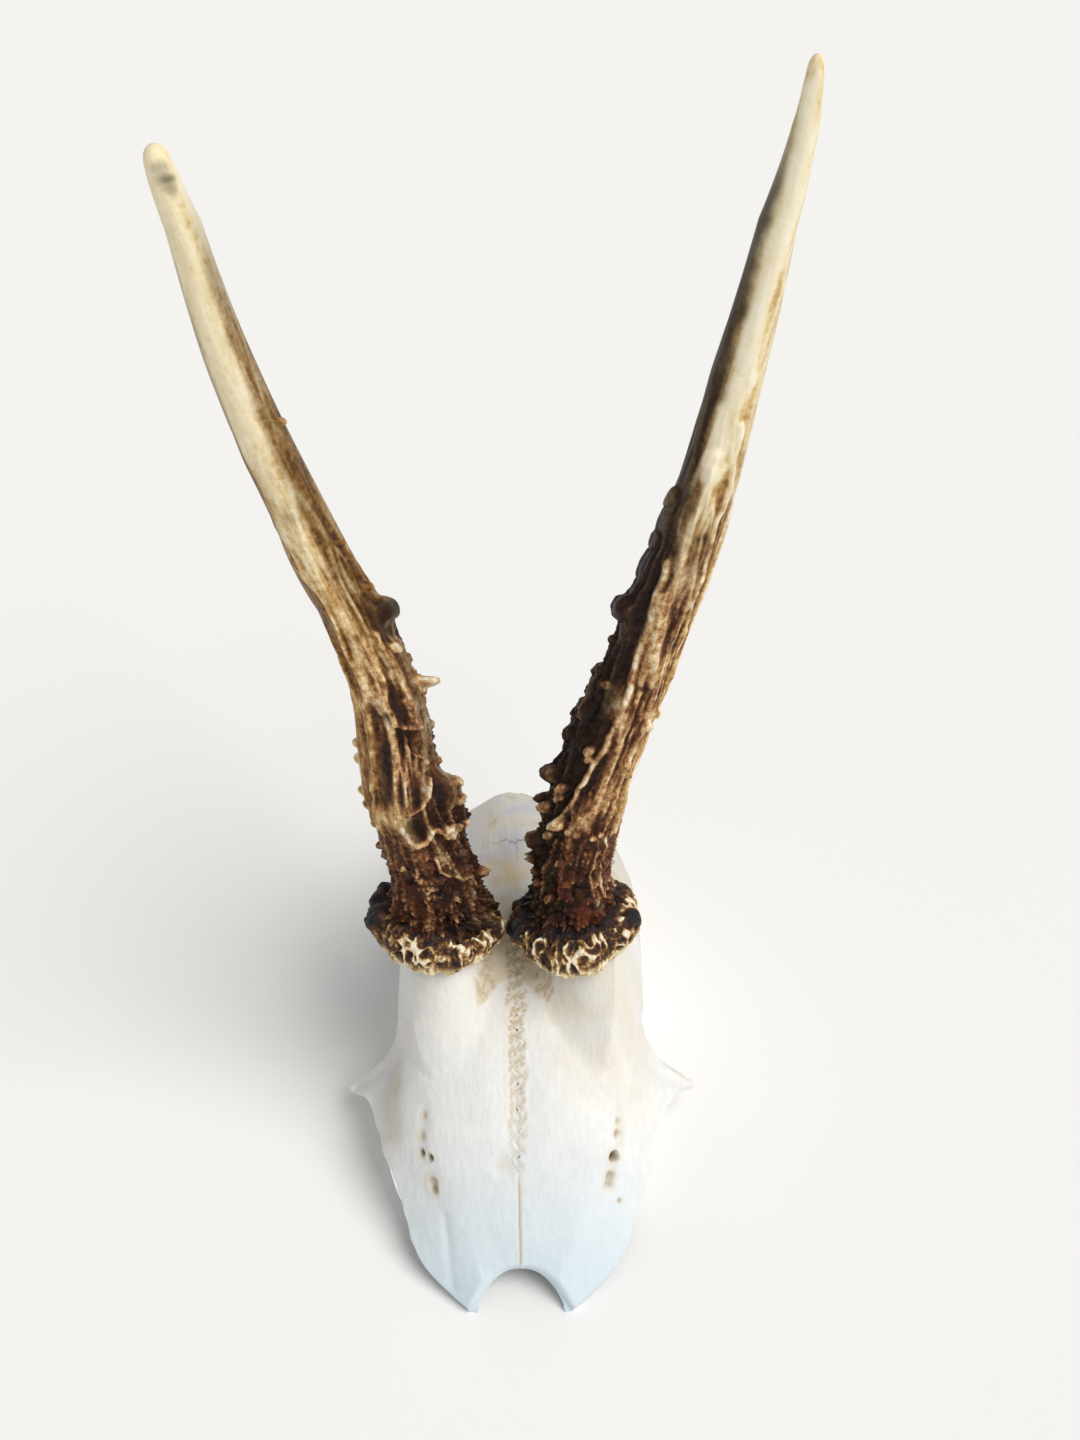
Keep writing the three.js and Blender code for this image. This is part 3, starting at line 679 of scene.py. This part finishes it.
fringe = add_node(tree, "ShaderNodeAttribute", attribute_name="fringe").outputs["Fac"]
yellow = add_node(
    tree, "ShaderNodeValToRGB", {"Fac": worn}, stops=[(0.12, "#5a3c1c"), (0.36, "#c39a5c"), (0.66, "#f1dfb0")]
).outputs["Color"]
colour = add_node(
    tree, "ShaderNodeMixRGB", {"Fac": fringe, "Color1": dark, "Color2": yellow}
).outputs["Color"]
tree.links.new(colour, finish.inputs["Base Color"])
finish.inputs["Roughness"].default_value = 0.55
finish.inputs["Specular IOR Level"].default_value = 0.28
rough = add_node(
    tree, "ShaderNodeBump", {"Height": speck, "Strength": 0.5, "Distance": 0.0005}
).outputs["Normal"]
tree.links.new(rough, finish.inputs["Normal"])

for side, (turn, seed) in BURRS.items():
    profile = even_profile(BURR_PROFILE, BURR_ROWS + 1)

    def ring(around, along):
        row = np.rint(along * BURR_ROWS).astype(int)
        r = profile[row, 0] * BURR_RADIUS
        h = profile[row, 1] * BURR_HEIGHT
        wave = np.cos(11 * around + turn) + 0.6 * np.cos(7 * around + 2 * turn)
        to_rim = np.clip(r / BURR_RADIUS, 0, 1) ** 6
        r = r * (1 + to_rim * BURR_KNOB * (0.3 + 0.35 * wave) / BURR_RADIUS)
        return np.stack([r * np.cos(around), r * np.sin(around), BURR_LIFT + h], 1)

    mesh = tube_mesh(BURR_COLUMNS, BURR_ROWS, ring)
    points, normals = points_of(mesh), normals_of(mesh)
    px, py, pz = points.T
    radius = np.hypot(px, py)
    rim = smoothstep(0.72, 0.92, radius / BURR_RADIUS)
    inside_rim = 1 - smoothstep(0.7, 0.84, radius / BURR_RADIUS)
    below = smoothstep(0.5, 0.2, pz / BURR_HEIGHT)
    around = np.arctan2(-py, px)  # 0 to +X, a quarter turn to the front
    worn_side = smoothstep(-0.5, 0.6, np.cos(around - WORN_SIDE))
    knobs = cells(points, (4.4, 4.4, 6), seed)
    grains = cells(points, (1.2, 1.2, 1.3), seed + 5)
    circle = np.stack([np.cos(around), np.sin(around)])
    drawn = np.stack([*(RIM_UNROLLED * circle), 0.6 * pz - 0.35 * radius], 1)
    warped = drawn + 0.9 * np.stack([lumps(points, 3, seed + k, 1) for k in (1, 2, 3)], 1)
    level = lumps(warped, 2.2, seed + 6, 1)
    fine_level = lumps(warped, 1.3, seed + 7, 1)
    teeth = smoothstep(0.35, 0.9, cells(warped, (2.3, 2.3, 2.6), seed + 9))
    worm = np.maximum(np.exp(-((level / 0.26) ** 2)), 0.4 * np.exp(-((fine_level / 0.16) ** 2)))
    worm = np.maximum(worm * (0.68 + 0.32 * teeth), 0.6 * teeth * smoothstep(0.2, 0.45, level))
    radial = np.stack([*(TOP_UNROLLED * circle), 0.3 * radius], 1)
    folds = lumps(radial, 2.4, seed + 8, 2)
    height = rim * (0.8 * (knobs - 0.5) + 1.1 * (worm - 0.45) * (1 - 0.6 * below))
    height += 0.45 * (grains - 0.5) * np.maximum(below, 0.3)
    height += inside_rim * (1.1 * folds + 0.4 * (grains - 0.5))
    slate = np.zeros(len(points))
    for degrees, level_up, out, size in BLOBS[side]:
        angle = math.radians(degrees)
        blob = (BURR_RADIUS * math.cos(angle), -BURR_RADIUS * math.sin(angle), level_up)
        height += out * hill(points, blob, size)
        slate = np.maximum(slate, 0.8 * (size < 3.5) * hill(points, blob, size))
    points = points + normals * height[:, None]
    patchy = 0.75 + 0.8 * lumps(points, 5, seed + 3, 2)
    ivory = 0.12 + 0.2 * grains * rim + rim * worm * worn_side * np.clip(patchy, 0.35, 1) * 0.95
    ivory += 0.25 * rim * worm * (1 - worn_side) + 0.1 * inside_rim * folds + 0.34 * below * grains
    ivory *= 1 - slate
    foot = np.array(foot_matrix(side))
    points = points @ foot[:3, :3].T + foot[:3, 3]
    set_points(mesh, points)
    set_values(mesh, "crest", np.clip(ivory, 0, 1))
    set_values(mesh, "fringe", np.clip(0.9 * below * rim * (0.4 + 0.6 * worn_side), 0, 1))
    finished_piece(f"burr_{side}", mesh, horn_crust, sharp=80)

# ---------------------------------------------------------------- Antlers
# Two unbranched spikes of an old buck, grown of antler bone: stained dark red-brown in their
# lower half, furrowed lengthwise and set with pearls, and rubbed smooth and ivory to the tip.
# Each is a tube round a leaning centre line, with its furrows, ledges and pearls raised on it.
LEAN_BACK = 0.35
LEAN_EASE = 0.00075
RING_DIP = 0.65  # in girths
REACH = (-59.3, 60.1)  # of the tips to the two sides
BEAM_START = 9.2  # of the beam over the foot of the coronet
TIP_ROUNDING = 3
FULLNESS = 1.015  # makes up for what the furrows take off the girth
BEAM_COLUMNS = 156
BEAM_ROWS = 600
ANTLERS = {  # heights are above the floor; degrees run round the beam, 0 to +X, 90 to the front
    "right": {
        "path": (  # x and height
            (-18.4, 62), (-18.9, 74), (-24.5, 101), (-27.3, 128), (-39.9, 167),
            (-49.5, 203), (-54.6, 236.5), (-57.3, 253.3),
        ),
        "girth": (  # height and radius
            (60, 10.8), (74, 9.8), (88, 9.2), (115, 7.8), (141, 6.6),
            (167, 5.7), (203, 4.7), (236, 3.4), (246, 2.8), (253.3, 2.2),
        ),
        "shade": 0.6,  # how dark the painted shade is on the side that faces the other antler
        # where tan starts and is full, outwards and as a share of the height
        "tan": ((-0.35, 0.75), (0.3, 0.5)),
        "paling": (0.42, 0.8),  # shares of the height between which the beam turns to ivory
        "outer_edge": 0.85,  # how brown the edge that faces out stays, painted shade
        "edge_shade": 0.62,  # how dark a line of painted shade runs up that edge
        "swellings": (  # height, degrees, out, radius, how dark; in a hollow the dark is painted shade
            (143, 5, 1.7, 4.6, 0.97), (138, 14, -0.8, 2.2, 0.9), (121, 56, 1.2, 5, 0.3),
            (117, 82, -0.7, 2, 0.75), (119, 60, 0, 2.4, 0.6), (95.5, 8, 3.6, 4.6, 0.6),
            (96, 62, 0.5, 4, 0.6), (86, 76, -0.9, 3.2, 0.95), (88, 350, 2, 4, 0.4),
            (74, 10, 1.6, 3.6, 0.2), (80, 185, 1, 3, 0), (97, 180, 0.9, 3, 0), (96.5, 138, -0.9, 1.8, 0.9),
            (169, 84, 0, 1.6, 0.25), (244.2, 60, 0, 1.5, 0.5), (246, 62, 0, 1.7, 0.75),
            (248.4, 68, 0, 1.5, 0.4),
        ),
        "pearls": (  # height, degrees, out, radius, how ivory
            (191, 8, 1.3, 1.2, 0.6), (161, 14, 0.9, 1.2, 0.3), (157, 10, 0.8, 1.2, 0.3),
            (153, 12, 1, 1.2, 0.3), (149.5, 8, 1, 1.3, 0.3), (143.5, 8, 2, 3, 0),
            (134, 26, 0.9, 1.6, 1), (124.5, 3, 3.6, 1.3, 1), (124, 3, 1.4, 2.6, 0.9),
            (104, 2, 1.4, 1.3, 0.5), (97, 2, 1.2, 1.8, 0.9), (91.5, 4, 1.2, 1.7, 0.9),
            (83.5, 34, 1.4, 2.2, 1), (84.5, 14, 1.5, 1.4, 0.9), (85, 358, 1.2, 1.3, 0.9),
            (72, 6, 2.6, 1.4, 0.9), (71, 70, 0.7, 1.3, 0.3), (66, 55, 0.8, 1, 0.9), (110, 181, 1.2, 1.4, 0.3),
            (106, 178, 1.2, 1.4, 0.3), (98, 183, 1, 1.3, 0.6), (94, 178, 1.1, 1.4, 0.6),
            (89, 180, 1.2, 1.3, 0.7), (83, 178, 1.7, 1.4, 0.7), (79, 186, 0.9, 1.5, 0.6),
            (114, 352, 1, 1.5, 0.4), (131, 350, 0.8, 1.5, 0.3), (76, 118, 0.6, 0.8, 0.8),
            (72, 96, 0.5, 0.8, 0.7),
        ),
        "ridges": (  # half width, out, how ivory, then heights and degrees along it
            (0.6, 1.1, 0.9, ((101.5, 74), (95.5, 78), (91, 82), (91, 70), (92.5, 56), (95, 46), (100, 37))),
            (0.9, 1.4, 1, ((87.5, 93), (84, 92), (81.5, 84), (82.3, 73), (84.6, 60), (84.6, 44), (85.5, 28))),
            (0.6, 0.8, 0.8, ((109, 64), (106.6, 56), (106.2, 43), (104.2, 34))),
            (1.1, 1.7, 1, ((114.8, 62), (114.2, 50), (114.4, 38))),
            (0.6, 0.7, 0.9, ((78, 67), (74, 65), (72.2, 52), (71.2, 26), (69, 10))),
            (0.6, 0.6, 0.8, ((98.5, 127), (95, 139), (92, 129))),
            (1, 0.8, 0.7, ((146, 112), (132, 112), (122, 112), (112, 116), (100, 128), (88, 136))),
            (1, 0.7, 0.7, ((140, 76), (130, 76), (121, 76), (115, 72))),
            (1.1, 0.8, 0.55, ((138, 46), (129, 46), (120, 44), (114, 38))),
            (0.9, 0.6, 0.5, ((134, 138), (120, 142), (104, 150), (86, 156), (72, 158))),
            (2.6, 0.3, 0.6, ((252, 92), (205, 92), (176, 96), (158, 92), (142, 84))),
            (0.6, 0.6, 0.5, ((80, 128), (70, 126), (64, 128))),
            (0.6, 0.6, 0.4, ((82, 146), (70, 146), (64, 150))),
        ),
        "seed": 31,
    },
    "left": {
        "path": (
            (14.2, 62), (13.9, 73), (19.1, 100), (28.8, 127), (40.4, 165),
            (48.2, 201), (54, 234), (57.7, 254), (58.8, 268),
        ),
        "girth": (
            (60, 9.6), (73, 8.9), (100, 8.2), (127, 7.3), (165, 6.2),
            (201, 5.1), (234, 3.6), (254, 2.3), (268, 1.4),
        ),
        "shade": 1,
        "tan": ((0.4, 0.95), (0.46, 0.6)),
        "paling": (0.46, 0.7),
        "outer_edge": 0.12,
        "edge_shade": 0.1,
        "swellings": (
            (165, 178, 0.8, 4, 0.2), (154, 182, 1, 4, 0.2), (144, 180, 1.4, 4.4, 0.2),
            (122, 185, 1.2, 3.4, 0.2), (112, 190, 0.8, 3.2, 0.2), (100, 182, 1.2, 3, 0),
            (91, 180, 1, 3, 0), (80, 182, 1, 3.4, 0), (162, 80, -0.3, 1.4, 0.8), (136, 72, -0.2, 1.4, 0.6),
        ),
        "pearls": (
            (171, 180, 1, 2.6, 0.1), (160, 178, 0.9, 2.4, 0.1), (142.5, 178, 2, 3.4, 0.1),
            (134.5, 182, 1.2, 1.3, 0.15), (127, 180, 1, 1.6, 0.2), (123, 150, 0.9, 1.4, 0.6),
            (116, 178, 2, 3, 0.15), (109, 186, 1.2, 2, 0.2), (106, 127, 1.3, 1.6, 0.9),
            (104, 122, 0.9, 1.2, 0.8),
            (98.5, 180, 2.6, 2.5, 0.35), (95.5, 146, 1.6, 1.7, 0.7), (93, 148, 1.2, 1.4, 0.7),
            (90, 166, 1.8, 1.9, 0.7), (92, 188, 2, 1.9, 0.4), (81, 180, 2.3, 2.3, 0.3),
            (76, 181, 2, 1.6, 0.9), (72.5, 168, 1.4, 1.5, 0.7), (70, 152, 1.1, 1.3, 0.9),
            (83, 148, 1.1, 1.5, 0.9), (86, 134, 1.6, 2, 0.9), (84.4, 116, 0.8, 1, 0.9),
            (83.8, 102, 0.8, 1, 0.8), (83.6, 76, 0.9, 1, 1), (84.8, 66, 0.9, 1, 1), (66, 127, 1, 1.2, 0.8),
            (76, 118, 0.8, 1, 0.7), (70, 104, 0.8, 1, 0.8), (96, 66, 0.7, 1.3, 0.7), (92, 54, 0.7, 1.2, 0.8),
            (115.5, 52, 1, 1.3, 1), (119, 38, 0.9, 1.1, 1), (102, 48, 0.8, 1.2, 0.8),
            (105, 62, 0.7, 1.2, 0.8),
            (126, 200, 1.3, 1.8, 0.2), (76, 205, 1.4, 1.6, 0.4), (90, 215, 1.4, 1.7, 0.4),
            (98, 212, 1.3, 1.7, 0.4),
        ),
        "ridges": (
            (1, 1.3, 0.9, (
                (156, 126), (135, 116), (125, 110), (114, 106), (107, 107), (98, 116), (90, 129), (86, 135),
            )),
            (0.8, 1, 0.75, ((148, 116), (136, 101), (124.5, 94), (109, 86), (102, 86), (95, 90))),
            (2.2, 0.5, 0.8, ((262, 84), (200, 98), (178, 105))),
            (1.3, 1.1, 0.75, ((182, 105), (164, 105), (154, 104), (144, 101), (136, 92), (126, 80))),
            (0.6, 0.7, 0.5, ((132, 84), (118, 76), (104, 74), (92, 76))),
            (0.5, 0.6, 0.6, ((128, 72), (114, 64), (100, 58), (88, 56))),
            (0.6, 0.6, 0.4, ((120, 92), (106, 94), (94, 100), (88, 108))),
            (0.5, 0.6, 0.6, ((116, 48), (100, 40), (86, 34))),
            (0.55, 0.9, 1, ((84, 52), (76, 54), (70, 47), (66, 38))),
            (0.5, 0.7, 0.9, ((84, 64), (74, 66), (68, 60), (64, 52))),
            (0.6, 0.8, 0.5, ((82, 92), (74, 94), (66, 96))),
            (0.6, 0.8, 0.4, ((82, 110), (74, 112), (66, 112))),
            (0.6, 0.8, 0.5, ((82, 132), (74, 138), (66, 142))),
            (0.6, 0.6, 0.7, ((134, 62), (122, 62), (110, 64), (98, 70), (90, 70))),
            (0.5, 0.5, 0.8, ((140, 44), (124, 42), (108, 40), (90, 34), (74, 28))),
            (0.5, 0.5, 0.7, ((150, 56), (134, 52), (118, 50), (102, 46))),
            (0.7, 0.5, 0.6, ((168, 80), (152, 82), (138, 78), (126, 70))),
            (0.9, 0.6, 0.8, ((190, 62), (166, 58), (146, 50), (128, 30))),
            (1.6, 0.5, 0.9, ((170, 20), (130, 12), (100, 10), (76, 8))),
        ),
        "seed": 47,
    },
}


def at_height(pairs, z):
    """Smooth value at a height, between pairs of height and value."""
    pairs = np.array(pairs, float)
    heights, values = pairs.T
    i = np.clip(np.searchsorted(heights, z, side="right") - 1, 0, len(heights) - 2)
    f = np.clip((z - heights[i]) / (heights[i + 1] - heights[i]), 0, 1)
    return smooth_between(values, i, f)


horn, tree, finish = new_material("antler_beam")
place = add_node(tree, "ShaderNodeTexCoord").outputs["Object"]
speck = add_node(
    tree, "ShaderNodeTexNoise", {"Vector": place, "Scale": 1 / 0.0014, "Detail": 6.0, "Roughness": 0.65}
).outputs["Fac"]
drawn = add_node(tree, "ShaderNodeAttribute", attribute_name="unrolled").outputs["Vector"]
streaks = add_node(
    tree, "ShaderNodeTexNoise", {"Vector": drawn, "Scale": 1 / 1.1, "Detail": 5.0, "Roughness": 0.6}
).outputs["Fac"]
shade = {name: add_node(tree, "ShaderNodeAttribute", attribute_name=name).outputs["Fac"]
         for name in ("crest", "rise", "gold", "red", "stain_and_shade")}
grainy = add_node(
    tree, "ShaderNodeMath",
    {0: add_node(tree, "ShaderNodeMath", {0: speck, 1: streaks}, operation="ADD").outputs[0], 1: 1.0},
    operation="SUBTRACT",
).outputs[0]
amount = add_node(
    tree, "ShaderNodeMapRange", {"Value": shade["rise"], "To Min": 0.9, "To Max": 0.42}
).outputs["Result"]
worn = add_node(
    tree, "ShaderNodeMath", {0: grainy, 1: amount, 2: shade["crest"]}, operation="MULTIPLY_ADD"
).outputs[0]
ramps = [
    add_node(tree, "ShaderNodeValToRGB", {"Fac": worn}, stops=stops).outputs["Color"]
    for stops in (
        [
            (0.05, "#150b06"), (0.24, "#3d200f"), (0.42, "#6e4327"),
            (0.57, "#a3744a"), (0.74, "#dcb881"), (0.9, "#fbf1d6"),
        ],
        [
            (0.04, "#2a1706"), (0.22, "#6a431c"), (0.4, "#a3743a"),
            (0.58, "#cda364"), (0.76, "#eed6a2"), (0.92, "#fbf3da"),
        ],
        [
            (0.04, "#6e4419"), (0.24, "#b08248"), (0.4, "#dcbc80"),
            (0.52, "#f2e0b2"), (0.66, "#fbeecb"), (0.86, "#fff8e4"),
        ],
    )
]
colour = add_node(
    tree, "ShaderNodeMixRGB", {"Fac": shade["gold"], "Color1": ramps[0], "Color2": ramps[1]}
).outputs["Color"]
colour = add_node(
    tree, "ShaderNodeMixRGB", {"Fac": shade["rise"], "Color1": colour, "Color2": ramps[2]}
).outputs["Color"]
# The near-black is dark stain at the foot and in pits, and painted shade on the beam's sides and in hollows
for name, over in (("red", "#5a2a14"), ("stain_and_shade", "#1c0f06")):
    colour = add_node(
        tree, "ShaderNodeMixRGB", {"Fac": shade[name], "Color1": colour, "Color2": linear(over)}
    ).outputs["Color"]
tree.links.new(colour, finish.inputs["Base Color"])
finish.inputs["Roughness"].default_value = 0.45
finish.inputs["Specular IOR Level"].default_value = 0.18
rough = add_node(
    tree, "ShaderNodeBump", {"Height": grainy, "Strength": 0.35, "Distance": 0.0004}
).outputs["Normal"]
tree.links.new(rough, finish.inputs["Normal"])

for side, antler in ANTLERS.items():
    foot = Vector(FEET[side])
    z_low, z_high = foot.z + BEAM_START, antler["path"][-1][1]

    def centre(z):
        rise = z - foot.z
        x = at_height([(h, px) for px, h in antler["path"]], z)
        return np.stack([x, foot.y + LEAN_BACK * rise - LEAN_EASE * rise**2, z], 1)

    def frame_at(z):
        along = centre(z + 0.5) - centre(z - 0.5)
        along /= np.linalg.norm(along, axis=1)[:, None]
        across = np.cross([0, 1, 0], along)
        across /= np.linalg.norm(across, axis=1)[:, None]
        return along, across, np.cross(along, across)

    def spike(around, along):
        z = z_low + (z_high - z_low) * along * (0.9 + 0.1 * along)
        radius = at_height(antler["girth"], z) * FULLNESS
        to_tip = np.clip(1 - (z_high - z) / TIP_ROUNDING, 0, 1)
        radius = radius * np.sqrt(1 - to_tip**2) * (z < z_high - 1e-6)
        radius = radius * (z > z_low + 1e-6)
        _, right, back = frame_at(z)
        points = centre(z) + right * (radius * np.cos(around))[:, None]
        return points - back * (radius * np.sin(around))[:, None]

    mesh = tube_mesh(BEAM_COLUMNS, BEAM_ROWS, spike)
    points, normals = points_of(mesh), normals_of(mesh)
    z = points[:, 2].copy()
    for _ in range(3):  # height along the leaning centre line
        apart = points - centre(z)
        along, right, back = frame_at(z)
        z = np.clip(z + (apart * along).sum(1) * along[:, 2], z_low, z_high)
    apart = points - centre(z)
    around = np.arctan2(-(apart * back).sum(1), (apart * right).sum(1))
    girth = at_height(antler["girth"], z)
    seed = antler["seed"]

    # The heights of the features are read along rings that dip to the front
    rings = z - RING_DIP * girth * np.sin(around)
    uneven = 0.6 * lumps(points, 2.6, seed + 12, 2)
    level_only = np.stack([0 * z, 0 * z, z], 1)
    sideways = 0.9 * lumps(level_only, 8, seed + 13, 2) + 0.25 * lumps(points, 2.4, seed + 13, 1)

    def off_line(line, wobble=1):
        """Distance of every point from a line of heights and degrees drawn on the beam."""
        nearest = np.full(len(z), 1e3)
        ringed = rings + wobble * uneven
        for (z0, deg0), (z1, deg1) in zip(line, (*line[1:], line[-1])):
            turned = around - math.radians(deg0)
            px = np.arctan2(np.sin(turned), np.cos(turned)) * girth + wobble * sideways
            vx, vz = math.radians(deg1 - deg0) * at_height(antler["girth"], np.array([z0]))[0], z1 - z0
            f = np.clip((px * vx + (ringed - z0) * vz) / max(vx * vx + vz * vz, MM), 0, 1)
            nearest = np.minimum(nearest, np.hypot(px - f * vx, ringed - z0 - f * vz))
        return nearest

    share = (z - z_low) / (z_high - z_low)
    rugged = 1 - smoothstep(0.35, 0.75, share)
    inner = np.cos(around) * (1 if side == "right" else -1)  # 1 where the beam faces the other
    # Painted shade on the side that faces the other antler, darkest on the left antler
    painted_shade = smoothstep(0, 0.65, inner - 0.08 - 0.2 * share + 0.2 * lumps(points, 6, seed + 15, 2))
    painted_shade *= (1 - smoothstep(0.84, 1, share)) * antler["shade"]
    # Ribs and furrows run along the beam: noise on the unrolled skin, drawn out lengthwise
    unrolled = np.stack([girth * np.cos(around), girth * np.sin(around), 0.14 * z], 1)
    drift = lumps(unrolled, 7, seed, 2)
    unrolled += 1.3 * drift[:, None] * [1, 1, 0]
    broad = lumps(unrolled, 4.6, seed + 1, 1)
    narrow = lumps(unrolled, 2.2, seed + 2, 1)
    broken = np.clip(0.85 + 1.2 * lumps(unrolled * [1, 1, 1.6], 3, seed + 7, 1), 0.1, 1.2)
    ribs = np.maximum(np.exp(-((broad / 0.2) ** 2)), 0.8 * np.exp(-((narrow / 0.2) ** 2)) * broken)
    patches = lumps(points, 3.2, seed + 14, 2)
    long_patches = lumps(unrolled, 3, seed + 17, 2)
    crust = cells(points, (2.6, 2.6, 3.4), seed)
    grains = cells(points, (1.1, 1.1, 1.4), seed + 4)
    crusty = smoothstep(-0.1, 0.6, inner) * (1 - smoothstep(0.3, 0.5, share))
    base = 1 - smoothstep(0.06, 0.2, share)
    pitted = base * smoothstep(0.12, 0.4, lumps(points, 2, seed + 16, 1))
    height = (0.06 + 0.94 * rugged) * (0.95 * ribs - 0.45) * (1 - 0.3 * base)
    height += (
        crusty * (0.6 * (crust - 0.5) + 0.3 * (grains - 0.5))
        + base * (0.65 * (grains - 0.5) + 0.35 * patches)
    )
    height -= 0.7 * pitted
    folds = lumps(unrolled * [1, 1, 0.2], 2.6, seed + 5, 2)
    height += 3.2 * np.exp(-(z - z_low) / 2.8) * np.clip(0.75 + 0.9 * folds + 0.5 * (grains - 0.5), 0.1, 1.5)
    crest = (
        0.13 + (0.2 + 0.38 * rugged) * ribs**1.7 * (1 - 0.3 * base)
        + base * (0.42 * (grains - 0.4) + 0.3 * patches)
    )
    crest += (1 - rugged) * (0.3 + 0.22 * lumps(unrolled * [1, 1, 0.5], 4, seed + 3, 2))
    # Dark stain in the pits at the foot, with the painted shade of the inner side
    stain_and_shade = np.maximum(0.9 * painted_shade, 0.8 * pitted)
    blotch_and_shade = np.zeros(len(z))
    # Dark swellings: on a knob the dark is the antler's brown, in a hollow it is painted shade
    for zk, degrees, out, size, dark in antler["swellings"]:
        mound = np.exp(-((off_line([(zk, degrees)]) / size) ** 3))
        height += out * mound
        height -= 0.5 * mound * (height - out * mound) * (dark > 0.5)
        blotch_and_shade = np.maximum(blotch_and_shade, dark * mound)
    for width, out, ivory, line in antler["ridges"]:
        rib = np.exp(-((off_line(line) / width) ** 2)) * np.clip(0.95 + 0.6 * long_patches, 0.5, 1.1)
        height += out * rib
        edge = rib ** (1.9 if width < 1.5 else 1)
        worn_away = np.clip(0.88 + 0.9 * patches, 0.5, 1) if width < 1.5 else 1
        crest += (0.26 + 0.6 * ivory - crest).clip(0) * smoothstep(0, 0.9, edge) * worn_away
        stain_and_shade *= 1 - 0.95 * smoothstep(0.1, 0.9, edge)
        blotch_and_shade *= 1 - 0.95 * smoothstep(0.1, 0.9, edge) * (width < 1.5)
    stain_and_shade = np.maximum(stain_and_shade, blotch_and_shade)
    for zk, degrees, out, size, ivory in antler["pearls"]:
        dome = np.sqrt(np.clip(1 - (off_line([(zk, degrees)], 0.15) / size) ** 2.5, 0, 1))
        height += out * dome
        crest = np.maximum(crest, (0.2 + 0.55 * ivory) * smoothstep(0.3, 0.85, dome))
        stain_and_shade *= 1 - min(1, 1.15 * ivory) * smoothstep(0.15, 0.75, dome)
    rise = smoothstep(*antler["paling"], share + 0.06 * drift + 0.06 * np.sin(around))
    # The side that faces the other antler stays brown; on the left antler this is the soft edge of its
    # painted shade
    rise -= 0.9 * smoothstep(0.35, 0.8, inner) * (1 - smoothstep(0.76, 0.93, share))
    # The edge that faces out stays brown: painted shade
    rise -= antler["outer_edge"] * smoothstep(0.5, 0.9, -inner) * (1 - smoothstep(0.66, 0.84, share))
    outwards, upwards = antler["tan"]
    gold = smoothstep(*outwards, -inner + 0.4 * drift) * (1 - base) * 0.9
    gold = np.maximum(gold, smoothstep(*upwards, share))
    crest = np.maximum(crest, 0.32 * gold)
    # A line of painted shade up the edge that faces out
    outer_edge_shade = smoothstep(0.5, 0.92, -inner) * smoothstep(0.4, 0.55, share)
    outer_edge_shade *= 1 - smoothstep(0.75, 0.97, share)
    stain_and_shade = np.maximum(stain_and_shade, antler["edge_shade"] * outer_edge_shade)
    stain_and_shade = np.maximum(stain_and_shade, 0.75 * np.exp(-(z - z_low) / 3.5) * (0.8 + folds))
    red = base * np.clip(0.35 + 0.7 * lumps(points, 7, seed + 6, 2), 0, 0.7)
    red = np.maximum(red, 0.35 * rugged * smoothstep(0, 0.6, drift) * (1 - gold))
    points = points + normals * height[:, None]
    points[:, 0] = np.clip(points[:, 0], *REACH)
    set_points(mesh, points)
    shades = {"crest": crest, "rise": rise, "gold": gold, "red": red, "stain_and_shade": stain_and_shade}
    for name, values in shades.items():
        set_values(mesh, name, np.clip(values, 0, 1))
    layer = mesh.attributes.new("unrolled", "FLOAT_VECTOR", "POINT")
    layer.data.foreach_set("vector", unrolled.ravel())
    finished_piece(f"antler_{side}", mesh, horn, sharp=80)

# ---------------------------------------------------------------- Floor, light and camera
# A pale matt floor that runs on behind, a large soft light from the right and a little in front,
# and a camera that looks down on the plate from the front.
floor_bm = bmesh.new()
bmesh.ops.create_grid(floor_bm, x_segments=1, y_segments=1, size=30)
floor_mesh = bpy.data.meshes.new("floor")
floor_bm.to_mesh(floor_mesh)
floor_bm.free()
paper, tree, finish = new_material("pale_floor")
finish.inputs["Base Color"].default_value = linear("#f6f6f5")
finish.inputs["Roughness"].default_value = 0.9
finish.inputs["Specular IOR Level"].default_value = 0.1
floor_mesh.materials.append(paper)
floor = bpy.data.objects.new("floor", floor_mesh)
bpy.context.scene.collection.objects.link(floor)

world = bpy.data.worlds.new("studio")
world.use_nodes = True
world.node_tree.nodes["Background"].inputs["Color"].default_value = linear("#fbfbfb")
world.node_tree.nodes["Background"].inputs["Strength"].default_value = 0.42
bpy.context.scene.world = world
window = bpy.data.lights.new("window", "SUN")
window.energy = 2.2
window.angle = math.radians(42)
window.color = linear("#fffdfa")[:3]
window_object = bpy.data.objects.new("window", window)
window_object.rotation_euler = Vector((-0.6, 0.2, -0.95)).to_track_quat("-Z", "Y").to_euler()
bpy.context.scene.collection.objects.link(window_object)

CAMERA_PLACE = (17.07, -283.94, 464.25)  # in the plate's millimetres
CAMERA_FORWARD = (-0.0215, 0.6231, -0.7818)
CAMERA_UP = (0.0161, 0.7821, 0.6229)
camera = bpy.data.cameras.new("camera")
camera.lens = 50
camera.sensor_fit = "VERTICAL"
camera.sensor_height = 36
camera_object = bpy.data.objects.new("camera", camera)
forward = Vector(CAMERA_FORWARD).normalized()
right = forward.cross(Vector(CAMERA_UP)).normalized()
turn = Matrix((right, right.cross(forward), -forward)).transposed()
camera_object.matrix_world = Matrix.Translation((Vector(CAMERA_PLACE) + SHIFT) * MM) @ turn.to_4x4()
bpy.context.scene.collection.objects.link(camera_object)
bpy.context.scene.camera = camera_object
bpy.context.scene.view_settings.view_transform = "Standard"
